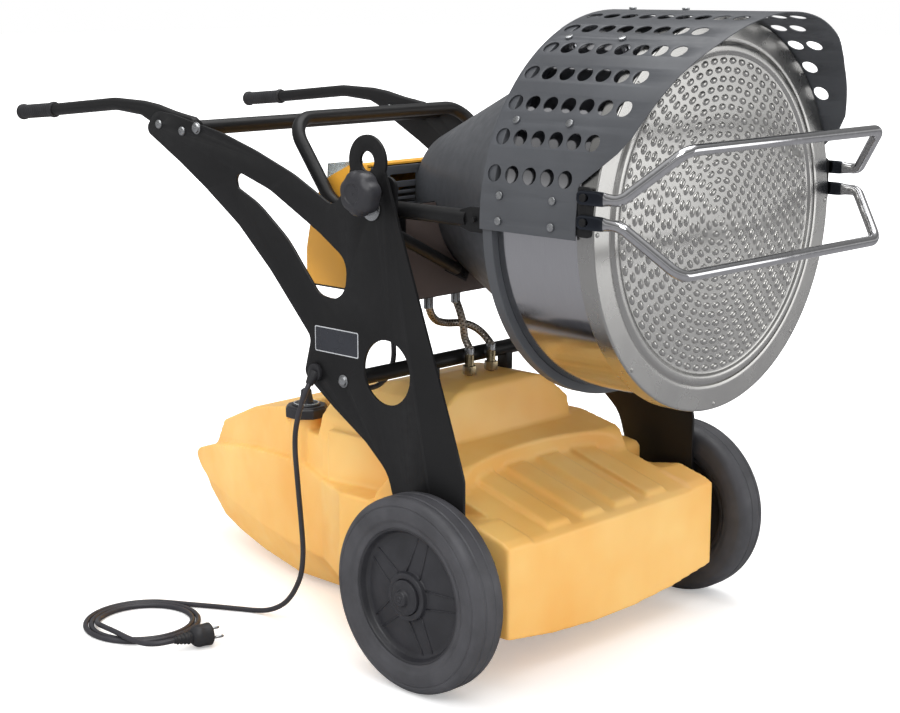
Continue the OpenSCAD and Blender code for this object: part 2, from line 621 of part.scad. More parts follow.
// The drum in (radius, y) outlines: band, rings, disc, rear shell and chamber
band_front = -286;
band_rear = -94;
ring_front = -289.5;
ring_rear = -261;
rear_ring_r = hood_r - 3;
rear_ring_y = [-108, -90.5];
shell_r = band_r - 27;
shell_y = rear_ring_y[1];
shell_end = 240;
shell_end_r = 90;
module drum_band() color(bright) placed() drum_turned()
    polygon([[band_r - sheet, band_front], [band_r, band_front], [band_r, band_rear], [band_r - sheet, band_rear]]);
module front_ring() color(bright) placed() {
    drum_turned() polygon([[shell_r + 1, ring_front + 0.5], [shell_r + 5, ring_front], [front_ring_r - 1, ring_front],
        [front_ring_r, ring_front + 1], [front_ring_r, ring_rear], [band_r + run_gap, ring_rear],
        [band_r + run_gap, ring_rear - 1.5], [front_ring_r - 1.5, ring_rear - 1.5],
        [front_ring_r - 1.5, ring_front + 1.5], [shell_r + 1, ring_front + 1.5]]);
    for (i = [0:7]) translate([0, 0, pivot_z]) rotate([0, 45 * i, 0])
        pin_y(ring_front - 1.5, ring_front + 1, band_r + 3, 0, 3.5);
}
module rear_ring() color(dark_grey) placed() drum_turned()
    polygon([[band_r + run_gap, rear_ring_y[0]], [rear_ring_r, rear_ring_y[0]], [rear_ring_r, rear_ring_y[1]],
        [shell_r + 3, rear_ring_y[1]], [shell_r + 3, rear_ring_y[1] - 1.5],
        [rear_ring_r - 1.5, rear_ring_y[1] - 1.5], [rear_ring_r - 1.5, rear_ring_y[0] + 1.5],
        [band_r + run_gap, rear_ring_y[0] + 1.5]]);
disc_y = ring_front + 1.5;
dimple_rings = floor((shell_r - 27) / dimple_pitch);
module emitter_disc() color(bright) placed() drum_turned()
    polygon([[0, disc_y], for (i = [1:dimple_rings]) each [
        [i * dimple_pitch - 2.5, disc_y], [i * dimple_pitch - 1.2, disc_y + 0.9],
        [i * dimple_pitch + 1.2, disc_y + 0.9], [i * dimple_pitch + 2.5, disc_y]],
        [shell_r - 16, disc_y], [shell_r - 12, disc_y - 3], [shell_r - 5, disc_y - 3], [shell_r - 1, disc_y], [band_r - sheet - run_gap, disc_y],
        [band_r - sheet - run_gap, disc_y + 2], [0, disc_y + 2]]);
module rear_shell() color(dark_grey) placed() drum_turned()
    polygon([[band_r - sheet - run_gap, shell_y - 3.5], [band_r - sheet - run_gap, shell_y - 1.5],
        [shell_r, shell_y - 1.5], [shell_end_r, shell_end], [blast_r + run_gap, shell_end],
        [blast_r + run_gap, shell_end - sheet], [shell_end_r - sheet, shell_end - sheet],
        [shell_r - sheet, shell_y - 3.5]]);
chamber_r = 121;
chamber_end = 60;
module combustion_chamber() color(zinc) placed() {
    drum_turned() polygon([[blast_r + run_gap, chamber_end], [chamber_r, chamber_end], [chamber_r, -240],
        [60, -240], [60, -237], [chamber_r - 3, -237], [chamber_r - 3, chamber_end - 3],
        [blast_r + run_gap, chamber_end - 3]]);
    for (i = [0:2]) translate([0, 0, pivot_z]) rotate([0, 90 + 120 * i, 0]) translate([chamber_r - 1, -230, -10])
        cube([band_r - sheet - seat_gap - chamber_r + 0.5, 3, 20]);
}
// The flat front panel under the drum: it stands round the rear shell and closes the cradle's front
function shell_at(y) = shell_r + (shell_end_r - shell_r) * (y - shell_y) / (shell_end - shell_y);
panel_front = 148;
panel_t = 1.7;
panel_half = cover_w / 2 + 10;
cut_r = shell_at(panel_front) + 2;
module lower_shroud() color(shroud_brown) placed() difference() {
    translate([-panel_half, panel_front, 554.5]) cube([2 * panel_half, panel_t, 148]);
    pin_y(panel_front - past, panel_front + panel_t + past, 0, pivot_z, cut_r);
}

// The hood: a perforated half drum, cut to a swept front edge
hood_rear = -88;
hood_low = 698;
function hood_front(a) = lookup(a, [[0, -262], [13, -262], [18, -292], [22, -314], [27, -331], [37, -348],
    [46, -361], [53, -373], [60, -385], [75, -397], [90, -400]]);
hood_edge = [13, 18, 22, 27, 37, 46, 53, 60, 75, 90];
hood_rows = [for (i = [0:6]) 14 + 10.4 * i];
module hood_hole(a, y, r) translate([0, y, pivot_z]) rotate([0, -a, 0]) translate([hood_r - 8, 0, 0])
    rotate([0, 90, 0]) cylinder(h = 16, r = r);
module hood() color(dark_grey) placed() difference() {
    intersection() {
        drum_turned() polygon([[hood_r - hood_t, -410], [hood_r, -410], [hood_r, hood_rear], [hood_r - hood_t, hood_rear]]);
        across(-hood_r - past, hood_r + past) polygon([[hood_rear + past, hood_low], [hood_rear + past, pivot_z + hood_r + 20],
            [hood_front(90), pivot_z + hood_r + 20], for (i = [9:-1:0])
                [hood_front(hood_edge[i]), pivot_z + hood_r * sin(hood_edge[i])], [-262, hood_low]]);
    }
    for (a = hood_rows, side = [0, 1]) mirror([side, 0, 0])
        for (y = [-108:-hood_pitch:hood_front(a) + 30]) hood_hole(a, y, hood_hole_d / 2);
    for (a = bolt_angles, y = bolt_rows) hood_hole(a, y, 3 + slip);
}
bolt_rows = [-124, -220];
bolt_angles = [1, 8, 29.3, 60.4, 90, 119.6, 150.7, 172, 179];
module hood_bolts() color(zinc) placed() for (a = bolt_angles, y = bolt_rows)
    translate([0, y, pivot_z]) rotate([0, -a, 0]) difference() {
        translate([band_r - 3, 0, 0]) rotate([0, 90, 0]) {
            cylinder(h = hood_r - hood_t - band_r + 3 - 0.4, r = 6);
            cylinder(h = hood_r - band_r + 6, r = 3);
            translate([0, 0, hood_r - band_r + 3.2]) cylinder(h = 3, r = 5.5);
        }
        rotate([90, 0, 0]) translate([0, 0, -20]) cylinder(h = 40, r = band_r + run_gap, $fn = 128);
    }

// Guard handles: chrome bars whose flattened ends are bolted outside the front ring
flat_in = front_ring_r + 2.5;
flat_t = 4;
flat_x = flat_in + flat_t / 2;
guard_z = [757, 724];
guard_bar_z = [823, 659];
guard_half = [front_ring_r - 49, front_ring_r - 43];
module guard_handle(i) {
    rise = guard_z[i];
    bent_tube([[-flat_x, -300, rise], [-flat_x, -338, rise], [-guard_half[i], guard_y, guard_bar_z[i]],
        [guard_half[i], guard_y, guard_bar_z[i]], [flat_x, -338, rise], [flat_x, -300, rise]],
        [26, 28, 28, 26], guard_d / 2, 0, [0, 0, 1], 12);
    both_sides() difference() {
        across(flat_in, flat_in + flat_t) polygon(rounded([[-264, rise + 10, 5], [-264, rise - 10, 5],
            [-318, rise - 10, 8], [-318, rise + 10, 8]]));
        pin_x(flat_in - past, flat_in + 9, -277, rise, 3 + slip);
    }
}
module guard_handle_upper() color(bright) placed() guard_handle(0);
module guard_handle_lower() color(bright) placed() guard_handle(1);
module guard_brackets() color(black) placed() both_sides() {
    difference() {
        across(front_ring_r + seat_gap, flat_in - run_gap) polygon(rounded([[-263.5, 703, 4], [-288, 703, 8],
            [-288, 771, 8], [-263.5, 771, 4]]));
        for (z = guard_z) pin_x(flat_in - 9, flat_in + past, -277, z, 3 + slip);
    }
    for (z = guard_z) {
        pin_x(front_ring_r + seat_gap, flat_in + flat_t + 3, -277, z, 3);
        pin_x(flat_in + flat_t + run_gap, flat_in + flat_t + 3, -277, z, 5.5);
    }
}

// Strut tubes from the pivot brackets: the upper pair to the rear ring, the lower pair to the front panel
strut_r = 12.5;
strut_x = bracket_in - strut_r;
foot_angle = 59.4;
foot_r = cut_r + 9;
strut_foot = [foot_r * cos(foot_angle), pivot_z - foot_r * sin(foot_angle)];
low_strut = [bracket_in - 4.8, 668];
foot_rise = atan2(low_strut[1] - strut_foot[1], low_strut[0] - strut_foot[0]);
foot_y = panel_front - 2.7;
module strut_tubes() color(black) placed() both_sides() {
    straight([strut_x, -30, 704], [strut_x, 118, 704], strut_r, tube_wall);
    difference() {
        across(strut_x, strut_x + 8) polygon(rounded([[shell_y + run_gap, 722, 3], [shell_y + run_gap, 686, 3],
            [-40, 686, 6], [-18, 692, 6], [-18, 716, 6], [-40, 722, 6]]));
        pin_x(strut_x - past, strut_x + 10, -48, 704, 4);
    }
    pin_x(strut_x - 4, strut_x + 13, -48, 704, 4 - run_gap);
    straight([low_strut[0], 116, low_strut[1]], [strut_foot[0] + 30 * cos(foot_rise), foot_y - 8.6,
        strut_foot[1] + 30 * sin(foot_rise)], 9.5, tube_wall);
    translate([strut_foot[0], foot_y, strut_foot[1]]) rotate([0, -foot_rise, 0]) difference() {
        translate([-9, 0, -9]) cube([52, 2.4, 18]);
        pin_y(-past, 3, 0, 0, 4);
    }
    pin_y(foot_y - 4, foot_y + 2.4, strut_foot[0], strut_foot[1], 4 - run_gap);
}

// The tilt hoop behind the burner
hoop_r = hoop_d / 2;
hoop_x = cover_w / 2 + 2 + hoop_r;
module tilt_hoop() color(black) placed() bent_tube([[-hoop_x, web_y + 5 + run_gap, 688],
    [-hoop_x, 308, 688], [-hoop_x, 411, 821], [hoop_x, 411, 821], [hoop_x, 308, 688],
    [hoop_x, web_y + 5 + run_gap, 688]], [60, 46, 46, 60], hoop_r, tube_wall, [0, 0.81, -0.59]);

// The burner: a cradle with a floor and low walls, under a cover with a louvred front
floor_z = 556;
floor_t = 3;
panel_y = [242, 245];
cover_half = cover_w / 2;
cover_rear = 390;
module burner_cradle() color(black) placed() {
    translate([-cover_half, 150, floor_z - floor_t]) cube([cover_w, cover_rear - 150 + 2, floor_t]);
    difference() {
        translate([-cover_half - 8, 150.5, floor_z]) cube([cover_w + 16, 3, 148]);
        pin_y(140, 160, 0, pivot_z, cut_r);
    }
    both_sides() {
        translate([cradle_half - 3, 153.5, floor_z]) cube([3, panel_y[0] - 153.8, 135]);
        translate([cradle_half - 3, panel_y[1] + 4, floor_z]) cube([3, cover_rear - cover_wall - 1 - panel_y[1] - 4, 44]);
    }
}
cover_outline = rounded([[panel_y[1] + seat_gap, floor_z, 0], [panel_y[1] + seat_gap, 757, 0], [280, 757, 40],
    [352, 724, 60], [381, 650, 90], [cover_rear, 612, 60], [cover_rear, floor_z, 0]]);
cover_hollow = rounded([[panel_y[1] - past, floor_z - past, 0], [panel_y[1] - past, 757 - cover_wall, 0],
    [279, 757 - cover_wall, 38], [350, 721, 56], [378, 648, 86],
    [cover_rear - cover_wall, 611, 57], [cover_rear - cover_wall, floor_z - past, 0]]);
rocker_at = [-60, 586];
reset_at = [60, 586];
reset_r = 7;
rocker_size = [22, 28];
module burner_cover() color(cover_yellow) placed() {
    difference() {
        across(-cover_half, cover_half) polygon(cover_outline);
        across(-cover_half + cover_wall, cover_half - cover_wall) polygon(cover_hollow);
        translate([rocker_at[0] - rocker_size[0] / 2, cover_rear - 9, rocker_at[1] - rocker_size[1] / 2])
            cube([rocker_size[0], 20, rocker_size[1]]);
        pin_y(cover_rear - 9, cover_rear + past, reset_at[0], reset_at[1], reset_r + slip);
    }
    both_sides() translate([cradle_half - 10, panel_y[1] + seat_gap, floor_z + 46])
        cube([cover_half - cradle_half + 8, 2, 150]);
}
louvre_top = 752;
module louvre_panel() color(dark_grey) placed() difference() {
    translate([-cradle_half + 3.3, panel_y[0], floor_z + seat_gap]) cube([2 * cradle_half - 6.6, 3, louvre_top - floor_z]);
    pin_y(panel_y[0] - past, panel_y[1] + past, 0, pivot_z, blast_r + run_gap);
    for (side = [0, 1]) mirror([side, 0, 0]) {
        translate([-142, panel_y[0] - past, 727]) cube([58, 5, 11]);
        for (i = [0:7]) translate([-142, panel_y[0] - past, 712 - 10 * i]) cube([66, 5, 5]);
    }
}
module socket_cover() color([0.8, 0.83, 0.83]) placed() difference() {
    across(-cover_half + 4, -cover_half + 42) polygon([[296, 730], [298, 758], [341, 753], [344, 712]]);
    across(-cover_half + 6, -cover_half + 40) polygon([[300, 725], [301, 755], [338, 750], [341, 707]]);
    across(-cover_half - past, -cover_half + 60) polygon(drawn_in(cover_outline, -seat_gap));
}

// Inside the burner: blast tube, nozzle, fan, motor, pump and ignition
fan_y = 308;
fan_z = 650;
housing_r = fan_r + 6;
housing_half = fan_w / 2 + 5;
shaft_r = 6;
module blast_tube() color(zinc) placed() translate([0, 0, pivot_z]) rotate([-90, 0, 0]) rotate_extrude()
    polygon([[blast_r - 2, 40], [blast_r, 40], [blast_r, panel_y[1] + seat_gap], [blast_r + 4.5, panel_y[1] + seat_gap],
        [blast_r + 4.5, panel_y[1] + 3], [blast_r - 2, panel_y[1] + 3]]);
module fuel_nozzle() color(brass) placed() {
    pin_y(72, 236, 0, pivot_z, 5);
    pin_y(64, 92, 0, pivot_z, 11);
    for (i = [0:2]) translate([0, 0, pivot_z]) rotate([0, 120 * i + 30, 0]) translate([4, 84, -8])
        cube([blast_r - 2 - seat_gap - 5, 2, 16]);
    for (x = [-9, 9]) pin_y(54, 130, x * 2, pivot_z + 9, 3);
    for (x = [-9, 9]) translate([min(x * 2, 0) - 2, 100, pivot_z + 2]) cube([abs(x * 2) + 4, 4, 9]);
}
module fan_housing() color(zinc) placed() difference() {
    union() {
        pin_x(-housing_half, housing_half, fan_y, fan_z, housing_r);
        translate([-housing_half, panel_y[1] + 3.3, fan_z]) cube([2 * housing_half, fan_y - panel_y[1] - 3.3, housing_r]);
    }
    pin_x(-housing_half + 2, housing_half - 2, fan_y, fan_z, housing_r - 2);
    translate([-housing_half + 2, panel_y[1], fan_z + 12]) cube([2 * housing_half - 4, fan_y - panel_y[1], housing_r - 14]);
    pin_x(-housing_half - past, 0, fan_y, fan_z, fan_r - 24);
    pin_x(0, housing_half + past, fan_y, fan_z, shaft_r + 4);
}
module fan_wheel() color(zinc) placed() {
    pin_x(-46, housing_half + 26, fan_y, fan_z, shaft_r);
    difference() {
        pin_x(fan_w / 2 - 2, fan_w / 2, fan_y, fan_z, fan_r);
        pin_x(0, fan_w, fan_y, fan_z, shaft_r - past);
    }
    pin_x(fan_w / 2 - 14, fan_w / 2, fan_y, fan_z, 14);
    difference() {
        pin_x(-fan_w / 2, -fan_w / 2 + 2, fan_y, fan_z, fan_r);
        pin_x(-fan_w / 2 - past, 0, fan_y, fan_z, fan_r - 12);
    }
    for (i = [0:fan_blades - 1]) translate([0, fan_y, fan_z]) rotate([360 * i / fan_blades, 0, 0])
        translate([-fan_w / 2 + 1, fan_r - 10, -0.6]) cube([fan_w - 2, 9, 1.2]);
}
motor_r = 46;
motor_end = cradle_half - 56;
module motor() color(dark_grey) placed() {
    difference() {
        union() {
            pin_x(housing_half + 0.05, motor_end, fan_y, fan_z, motor_r);
            translate([housing_half + 14, fan_y - 30, floor_z + 0.05])
                cube([motor_end - 30 - housing_half, 60, fan_z - floor_z - 20]);
        }
        pin_x(housing_half - past, housing_half + 30, fan_y, fan_z, shaft_r + run_gap);
    }
}
module fuel_pump() color(zinc) placed() difference() {
    union() {
        pin_x(-100, -housing_half - 0.05, fan_y, fan_z, 30);
        pin_x(-housing_half - 6, -housing_half - 0.05, fan_y, fan_z, fan_r - 18);
        pin_z(-80, fan_y, floor_z + 46, fan_z, 6);
        pin_z(-58, fan_y, floor_z + 46, fan_z, 6);
    }
    pin_x(-50, 0, fan_y, fan_z, shaft_r + run_gap);
}
module box_on_floor(x0, y0, w, d, h) translate([x0, y0, floor_z + 0.05]) cube([w, d, h]);
module ignition_transformer() color(dark_grey) placed() {
    box_on_floor(8 - cradle_half, 262, 68, 96, 56);
    for (x = [26, 58]) pin_z(x - cradle_half, 280, floor_z + 50, floor_z + 72, 8);
}
module control_box() color(black) placed() {
    box_on_floor(cradle_half - 66, 262, 58, 96, 40);
    translate([cradle_half - 52, 270, floor_z + 40]) cube([40, 80, 46]);
}
module switch_rocker() color(black) placed() difference() {
    translate([rocker_at[0] - rocker_size[0] / 2 + seat_gap, cover_rear - 6, rocker_at[1] - rocker_size[1] / 2 + 1.6])
        cube([rocker_size[0] - 2 * seat_gap, 7.5, rocker_size[1] - 3.2]);
    translate([rocker_at[0] - 20, cover_rear + 24, rocker_at[1]]) rotate([0, 90, 0]) cylinder(h = 40, r = 23.6, $fn = 96);
}
module reset_button() color(black) placed() {
    pin_y(cover_rear - 8, cover_rear + 4, reset_at[0], reset_at[1], reset_r);
}

// Cable gland with a drooping nose, and the mains lead
cord_r = cord_d / 2;
lead_y = cord_r + 0.05;
nose = [-plate_out - 16, gland[0], 421];
gland_mid = [-plate_out - 4, gland[0], gland[1]];
nose_dir = unit(nose - gland_mid);
nose_depth = 4;
module along_nose() rotate([0, acos(nose_dir[2]), atan2(nose_dir[1], nose_dir[0])]) children();
module cable_gland() color(rubber) placed() {
    difference() {
        union() {
            pin_x(-plate_out - 6, -plate_out - 0.05, gland[0], gland[1], gland_hole_d / 2 + 4);
            pin_x(-plate_out - 2, -plate_in + 0, gland[0], gland[1], gland_hole_d / 2);
            pin_x(-plate_in + 0.05, -plate_in + 5, gland[0], gland[1], gland_hole_d / 2 + 3);
            translate(gland_mid) along_nose() cylinder(h = norm(nose - gland_mid), r1 = gland_hole_d / 2, r2 = cord_r + 2);
        }
        translate(nose) along_nose() translate([0, 0, -nose_depth - 0.5]) cylinder(h = nose_depth + 5, r = cord_r + seat_gap);
        pin_x(-plate_in - 3, -plate_in + 9, gland[0], gland[1], cord_r + run_gap);
    }
}

// A smooth curve through hand-chosen points, with m steps between each two
function spline_at(p, i, t) =
    let (a = p[max(i - 1, 0)], b = p[i], c = p[i + 1], d = p[min(i + 2, len(p) - 1)])
    0.5 * (2 * b + (c - a) * t + (2 * a - 5 * b + 4 * c - d) * t * t + (3 * b - a - 3 * c + d) * t * t * t);
function spline(p, m) = concat([for (i = [0:len(p) - 2], k = [0:m - 1]) spline_at(p, i, k / m)], [p[len(p) - 1]]);

// Each point is [how far outside the left plate, y, z]
lead_way = [[20.6, 266, 414.5], [25, 273, 393], [28, 280, 368], [29, 286, 340], [29, 287, 310],
    [28, 285, 275], [27, 282, 235], [26, 279, 195], [25, 277, 155], [23, 281, 128], [18, 292, 102],
    [13, 308, 79], [7, 328, 57], [1, 353, 36], [-3, 380, 20], [-3.5, 405, 9.5], [1.6, 429, 4.7],
    [11, 448, 4.4], [21.5, 467, 4.4], [34, 490, 4.4], [48, 514, 4.4], [61.5, 537, 4.4]];
lead_points = concat([nose - nose_dir * nose_depth], [for (q = lead_way) [-plate_out - q[0], q[1], q[2]]]);
coil_centre = [-plate_out - 163, 520];
coil_r = 98;
coil_step = cord_d + 1;
coil_start = 25;
coil_turn = 880;
coil_rings = 24;
lead_z = 4.4;
over_z = lead_z + cord_d + 1.2;
function coil_height(a) = a < coil_turn - 75 ? lead_z
    : lead_z + (over_z - lead_z) * (1 - cos(180 * (a - coil_turn + 75) / 75)) / 2;
function coil_point(a) = let (r = coil_r - coil_step * a / 360, t = coil_start + a)
    [coil_centre[0] + r * cos(t), coil_centre[1] + r * sin(t), coil_height(a)];
coil_points = [for (i = [0:floor(coil_turn * coil_rings / 360)]) coil_point(i * 360 / coil_rings)];
tail_way = [[239, 490, 14.2], [241, 466, 14.3], [242, 442, 14.6], [241, 420, 15.2], [237.6, 404.8, 16.4],
    [228.1, 392.4, 17.6], [213.7, 385.1, 18.6]];
tail_points = [for (q = tail_way) [-plate_out - q[0], q[1], q[2]]];
plug_dir = unit([0.97, -0.25, 0]);
coil_path = concat([lead_points[len(lead_points) - 1]], coil_points, spline(tail_points, 3), [tail_points[6] + plug_dir * 9]);
module cord() color(rubber) placed() swept(spline(lead_points, 2), cord_r, 10, [1, 0, 0.02]);
module cord_coil() color(rubber) placed() swept(coil_path, cord_r, 6);
function coil_gap() = min([for (i = [0:len(coil_path) - 1], j = [i + 4:1:len(coil_path) - 1])
    norm(coil_path[i] - coil_path[j])]) - cord_d;
echo(least_coil_gap = coil_gap());

// Two braided fuel hoses between the tank's pipes and the cradle, and the lead's inner run
hose_top = floor_z - floor_t - 13;
hose_supply = [[-pipe_x, pipe_y, fitting_top + 1.8], [-pipe_x, pipe_y, 450], [-28, 188, 468], [-33, 187, 492],
    [-38, 190, 514], [-40, 196, 530], [-40, 197, hose_top]];
hose_return = [[pipe_x, pipe_y, fitting_top + 1.8], [pipe_x, pipe_y, 450], [21, 195, 468], [5, 204, 481],
    [-18, 209, 488], [-48, 209, 492], [-76, 204, 500], [-98, 195, 514], [-109, 190, 530], [-110, 190, hose_top]];
hose_r = hose_d / 2;
module fuel_hoses() color(zinc) placed() for (p = [hose_supply, hose_return]) {
    swept(spline(p, 3), hose_r, 10, [0, 1, 0.02]);
    last = p[len(p) - 1];
    translate([last[0], last[1], hose_top]) cylinder(h = 5, r = hose_r + 1.5);
    translate([last[0], last[1], hose_top + 5]) cylinder(h = 8 - seat_gap / 2, d = 19 / cos(30), $fn = 6);
}
inner_lead = [[-plate_in + 5, 266, 438], [-plate_in + 14, 266, 438], [-244, 262, 430], [-222, 256, 412],
    [-198, 250, 401], [-172, 246, 401], [-150, 244, 414], [-138, 243, 438], [-137, 243, 466],
    [-142, 244, 500], [-146, 246, 530], [-147, 247, floor_z - floor_t - 0.6]];
module inner_cable() color(rubber) placed() swept(spline(inner_lead, 3), cord_r, 10, [0, 1, 0.02]);

// The plug with its ribbed strain relief and two round pins
plug_start = tail_points[6] + plug_dir * 9;
relief_l = 30;
plug_l2 = 34;
module plug() color(rubber) placed() translate(plug_start) rotate([0, 90, atan2(plug_dir[1], plug_dir[0])]) {
    cylinder(h = relief_l, r1 = cord_r + 1.2, r2 = 9);
    for (i = [0:3]) translate([0, 0, 4 + 6 * i]) cylinder(h = 3, r = cord_r + 3 + i);
    translate([0, 0, relief_l - 1]) rotate_extrude() polygon([[0, 0], [11, 0], [plug_d / 2 - 3, 5],
        [plug_d / 2 - 0.8, 12], [plug_d / 2 - 0.8, plug_l2 - 2], [plug_d / 2 - 3, plug_l2], [0, plug_l2]]);
    for (s = [-1, 1]) rotate(30) translate([0, 9.5 * s, relief_l]) cylinder(h = plug_l2 + 18, r = 2.4);
}

side_plate_left();
side_plate_right();
rear_cross_tube();
lower_cross_tube();
handle_arm_left();
handle_arm_right();
grip_left();
grip_right();
frame_bolts();
axle();
tyre_left();
tyre_right();
rim_left();
rim_right();
hub_cap_left();
hub_cap_right();
tank();
tank_saddles();
filler_neck();
filler_cap();
cap_gauge();
fuel_pipes();
pivot_bolts();
pivot_brackets();
tilt_knob();
knob_nut();
rear_shell();
lower_shroud();
rear_ring();
drum_band();
front_ring();
emitter_disc();
combustion_chamber();
hood();
hood_bolts();
guard_handle_upper();
guard_handle_lower();
guard_brackets();
strut_tubes();
tilt_hoop();
burner_cradle();
burner_cover();
louvre_panel();
socket_cover();
blast_tube();
fuel_nozzle();
fan_housing();
fan_wheel();
motor();
fuel_pump();
ignition_transformer();
control_box();
switch_rocker();
reset_button();
cable_gland();
fuel_hoses();
inner_cable();
cord();
cord_coil();
plug();
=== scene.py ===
"""Looks of an infrared heater: a drum heater on a two-wheeled cart with a moulded tank."""

import json
import math

import bmesh
import bpy
import numpy as np
from mathutils import Matrix, Vector

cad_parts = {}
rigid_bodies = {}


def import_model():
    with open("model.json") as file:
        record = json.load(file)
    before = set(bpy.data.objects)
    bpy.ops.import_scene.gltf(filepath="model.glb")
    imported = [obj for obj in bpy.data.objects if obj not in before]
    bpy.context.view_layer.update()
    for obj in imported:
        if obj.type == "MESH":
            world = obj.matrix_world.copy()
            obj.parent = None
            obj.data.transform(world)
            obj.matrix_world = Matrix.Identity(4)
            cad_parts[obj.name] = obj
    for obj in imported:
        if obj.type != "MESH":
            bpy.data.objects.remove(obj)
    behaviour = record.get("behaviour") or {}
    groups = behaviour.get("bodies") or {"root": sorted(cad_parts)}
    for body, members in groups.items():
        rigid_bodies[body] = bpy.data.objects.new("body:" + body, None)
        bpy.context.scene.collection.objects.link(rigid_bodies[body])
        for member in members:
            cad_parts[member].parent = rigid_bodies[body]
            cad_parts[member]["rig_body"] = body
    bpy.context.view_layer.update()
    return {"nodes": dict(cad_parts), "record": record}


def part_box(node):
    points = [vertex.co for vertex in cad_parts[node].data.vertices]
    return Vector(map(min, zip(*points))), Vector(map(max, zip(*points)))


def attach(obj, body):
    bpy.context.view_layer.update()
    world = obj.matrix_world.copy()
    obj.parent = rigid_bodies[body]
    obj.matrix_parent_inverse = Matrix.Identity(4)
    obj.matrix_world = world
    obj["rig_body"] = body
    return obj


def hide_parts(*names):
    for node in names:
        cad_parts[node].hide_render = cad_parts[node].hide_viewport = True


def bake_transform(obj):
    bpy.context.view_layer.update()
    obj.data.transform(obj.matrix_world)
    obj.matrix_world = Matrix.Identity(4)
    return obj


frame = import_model()
NODES = frame["nodes"]

# The source draws the heater from its axle, and the row frame has its origin this far back
AXLE_TO_ROW = 0.336
AXLE_Z = 0.150
TILT_Z = 707


def at(x, y, z):
    """A point given in millimetres from the axle, in the row frame in metres."""
    return Vector((x, y - 1000 * AXLE_TO_ROW, z)) / 1000


# Materials

def srgb(r, g, b):
    """A colour as a picture shows it, 0 to 255, in the linear values of a shader."""
    return tuple(
        (v / 255 / 12.92) if v / 255 <= 0.04045 else ((v / 255 + 0.055) / 1.055) ** 2.4 for v in (r, g, b)
    )


def set_stops(ramp, stops):
    """Gives a colour ramp its stops, as (position, colour or grey)."""
    elements = ramp.color_ramp.elements
    while len(elements) < len(stops):
        elements.new(0.5)
    for element, (position, colour) in zip(elements, stops):
        element.position = position
        grey = isinstance(colour, (int, float))
        element.color = (colour, colour, colour, 1) if grey else (*colour, 1)


class Shader:
    """A material's node tree, with short calls for the nodes that the finishes share."""

    def __init__(self, name):
        self.material = bpy.data.materials.new(name)
        self.material.use_nodes = True
        self.nodes = self.material.node_tree.nodes
        self.links = self.material.node_tree.links
        self.bsdf = self.nodes["Principled BSDF"]
        self.heights = []

    def node(self, kind, **values):
        made = self.nodes.new(kind)
        for key, value in values.items():
            if key in made.inputs:
                made.inputs[key].default_value = value
            else:
                setattr(made, key.lower(), value)
        return made

    def wire(self, source, target):
        self.links.new(source, target)

    def place(self, scale=(1, 1, 1), kind="Object"):
        """The place on the surface, stretched along each axis."""
        where = self.node("ShaderNodeTexCoord")
        mapping = self.node("ShaderNodeMapping", Scale=scale)
        self.wire(where.outputs[kind], mapping.inputs["Vector"])
        return mapping.outputs["Vector"]

    def noise(self, scale, detail=3.0, stretch=(1, 1, 1), kind="Object", roughness=0.5):
        texture = self.node("ShaderNodeTexNoise", Scale=scale, Detail=detail, Roughness=roughness)
        self.wire(self.place(stretch, kind), texture.inputs["Vector"])
        return texture.outputs["Fac"]

    def ramp(self, value, *stops):
        """value turned into a colour or a grey by (position, colour) stops."""
        made = self.node("ShaderNodeValToRGB")
        set_stops(made, stops)
        self.wire(value, made.inputs["Fac"])
        return made.outputs["Color"]

    def mix(self, share, one, two):
        made = self.node("ShaderNodeMix", data_type="RGBA")
        for socket, value in ((made.inputs[6], one), (made.inputs[7], two)):
            if isinstance(value, tuple):
                socket.default_value = (*value, 1)
            else:
                self.wire(value, socket)
        self.wire(share, made.inputs[0])
        return made.outputs[2]

    def colour(self, source):
        self.wire(source, self.bsdf.inputs["Base Color"])

    def rough(self, value, low, high):
        self.wire(self.ramp(value, (0.3, low), (0.7, high)), self.bsdf.inputs["Roughness"])

    def bump(self, value, depth, strength=1.0):
        """Raises the surface by value times depth metres, over the bumps asked for before."""
        made = self.node("ShaderNodeBump", Strength=strength, Distance=depth)
        self.wire(value, made.inputs["Height"])
        if self.heights:
            self.wire(self.heights[-1], made.inputs["Normal"])
        self.heights.append(made.outputs["Normal"])
        self.wire(made.outputs["Normal"], self.bsdf.inputs["Normal"])

    def set(self, **values):
        for key, value in values.items():
            self.bsdf.inputs[key.replace("_", " ")].default_value = value


def painted(name, colour, low, high, peel=0.00006, grain=1100, spread=0.12, sheen=0.5):
    """Powder paint: fine orange peel, a slow drift of tone and of gloss."""
    s = Shader(name)
    dark = tuple(v * (1 - spread) for v in colour)
    light = tuple(v * (1 + spread) for v in colour)
    s.colour(s.ramp(s.noise(9, 4), (0.3, dark), (0.7, light)))
    s.rough(s.noise(60, 3), low, high)
    s.bump(s.noise(grain, 2), peel)
    s.set(Specular_IOR_Level=sheen)
    return s


def metal(name, colour, low, high, stretch=(1, 1, 1), grain=400, depth=0.00002, spread=0.1):
    """Bare metal with grinding lines along the axes that stretch leaves long."""
    s = Shader(name)
    s.set(Metallic=1.0)
    dark = tuple(v * (1 - spread) for v in colour)
    lines = s.noise(grain, 2, stretch)
    s.colour(s.ramp(lines, (0.3, dark), (0.7, colour)))
    s.rough(s.noise(grain * 0.5, 3, stretch), low, high)
    s.bump(lines, depth)
    return s


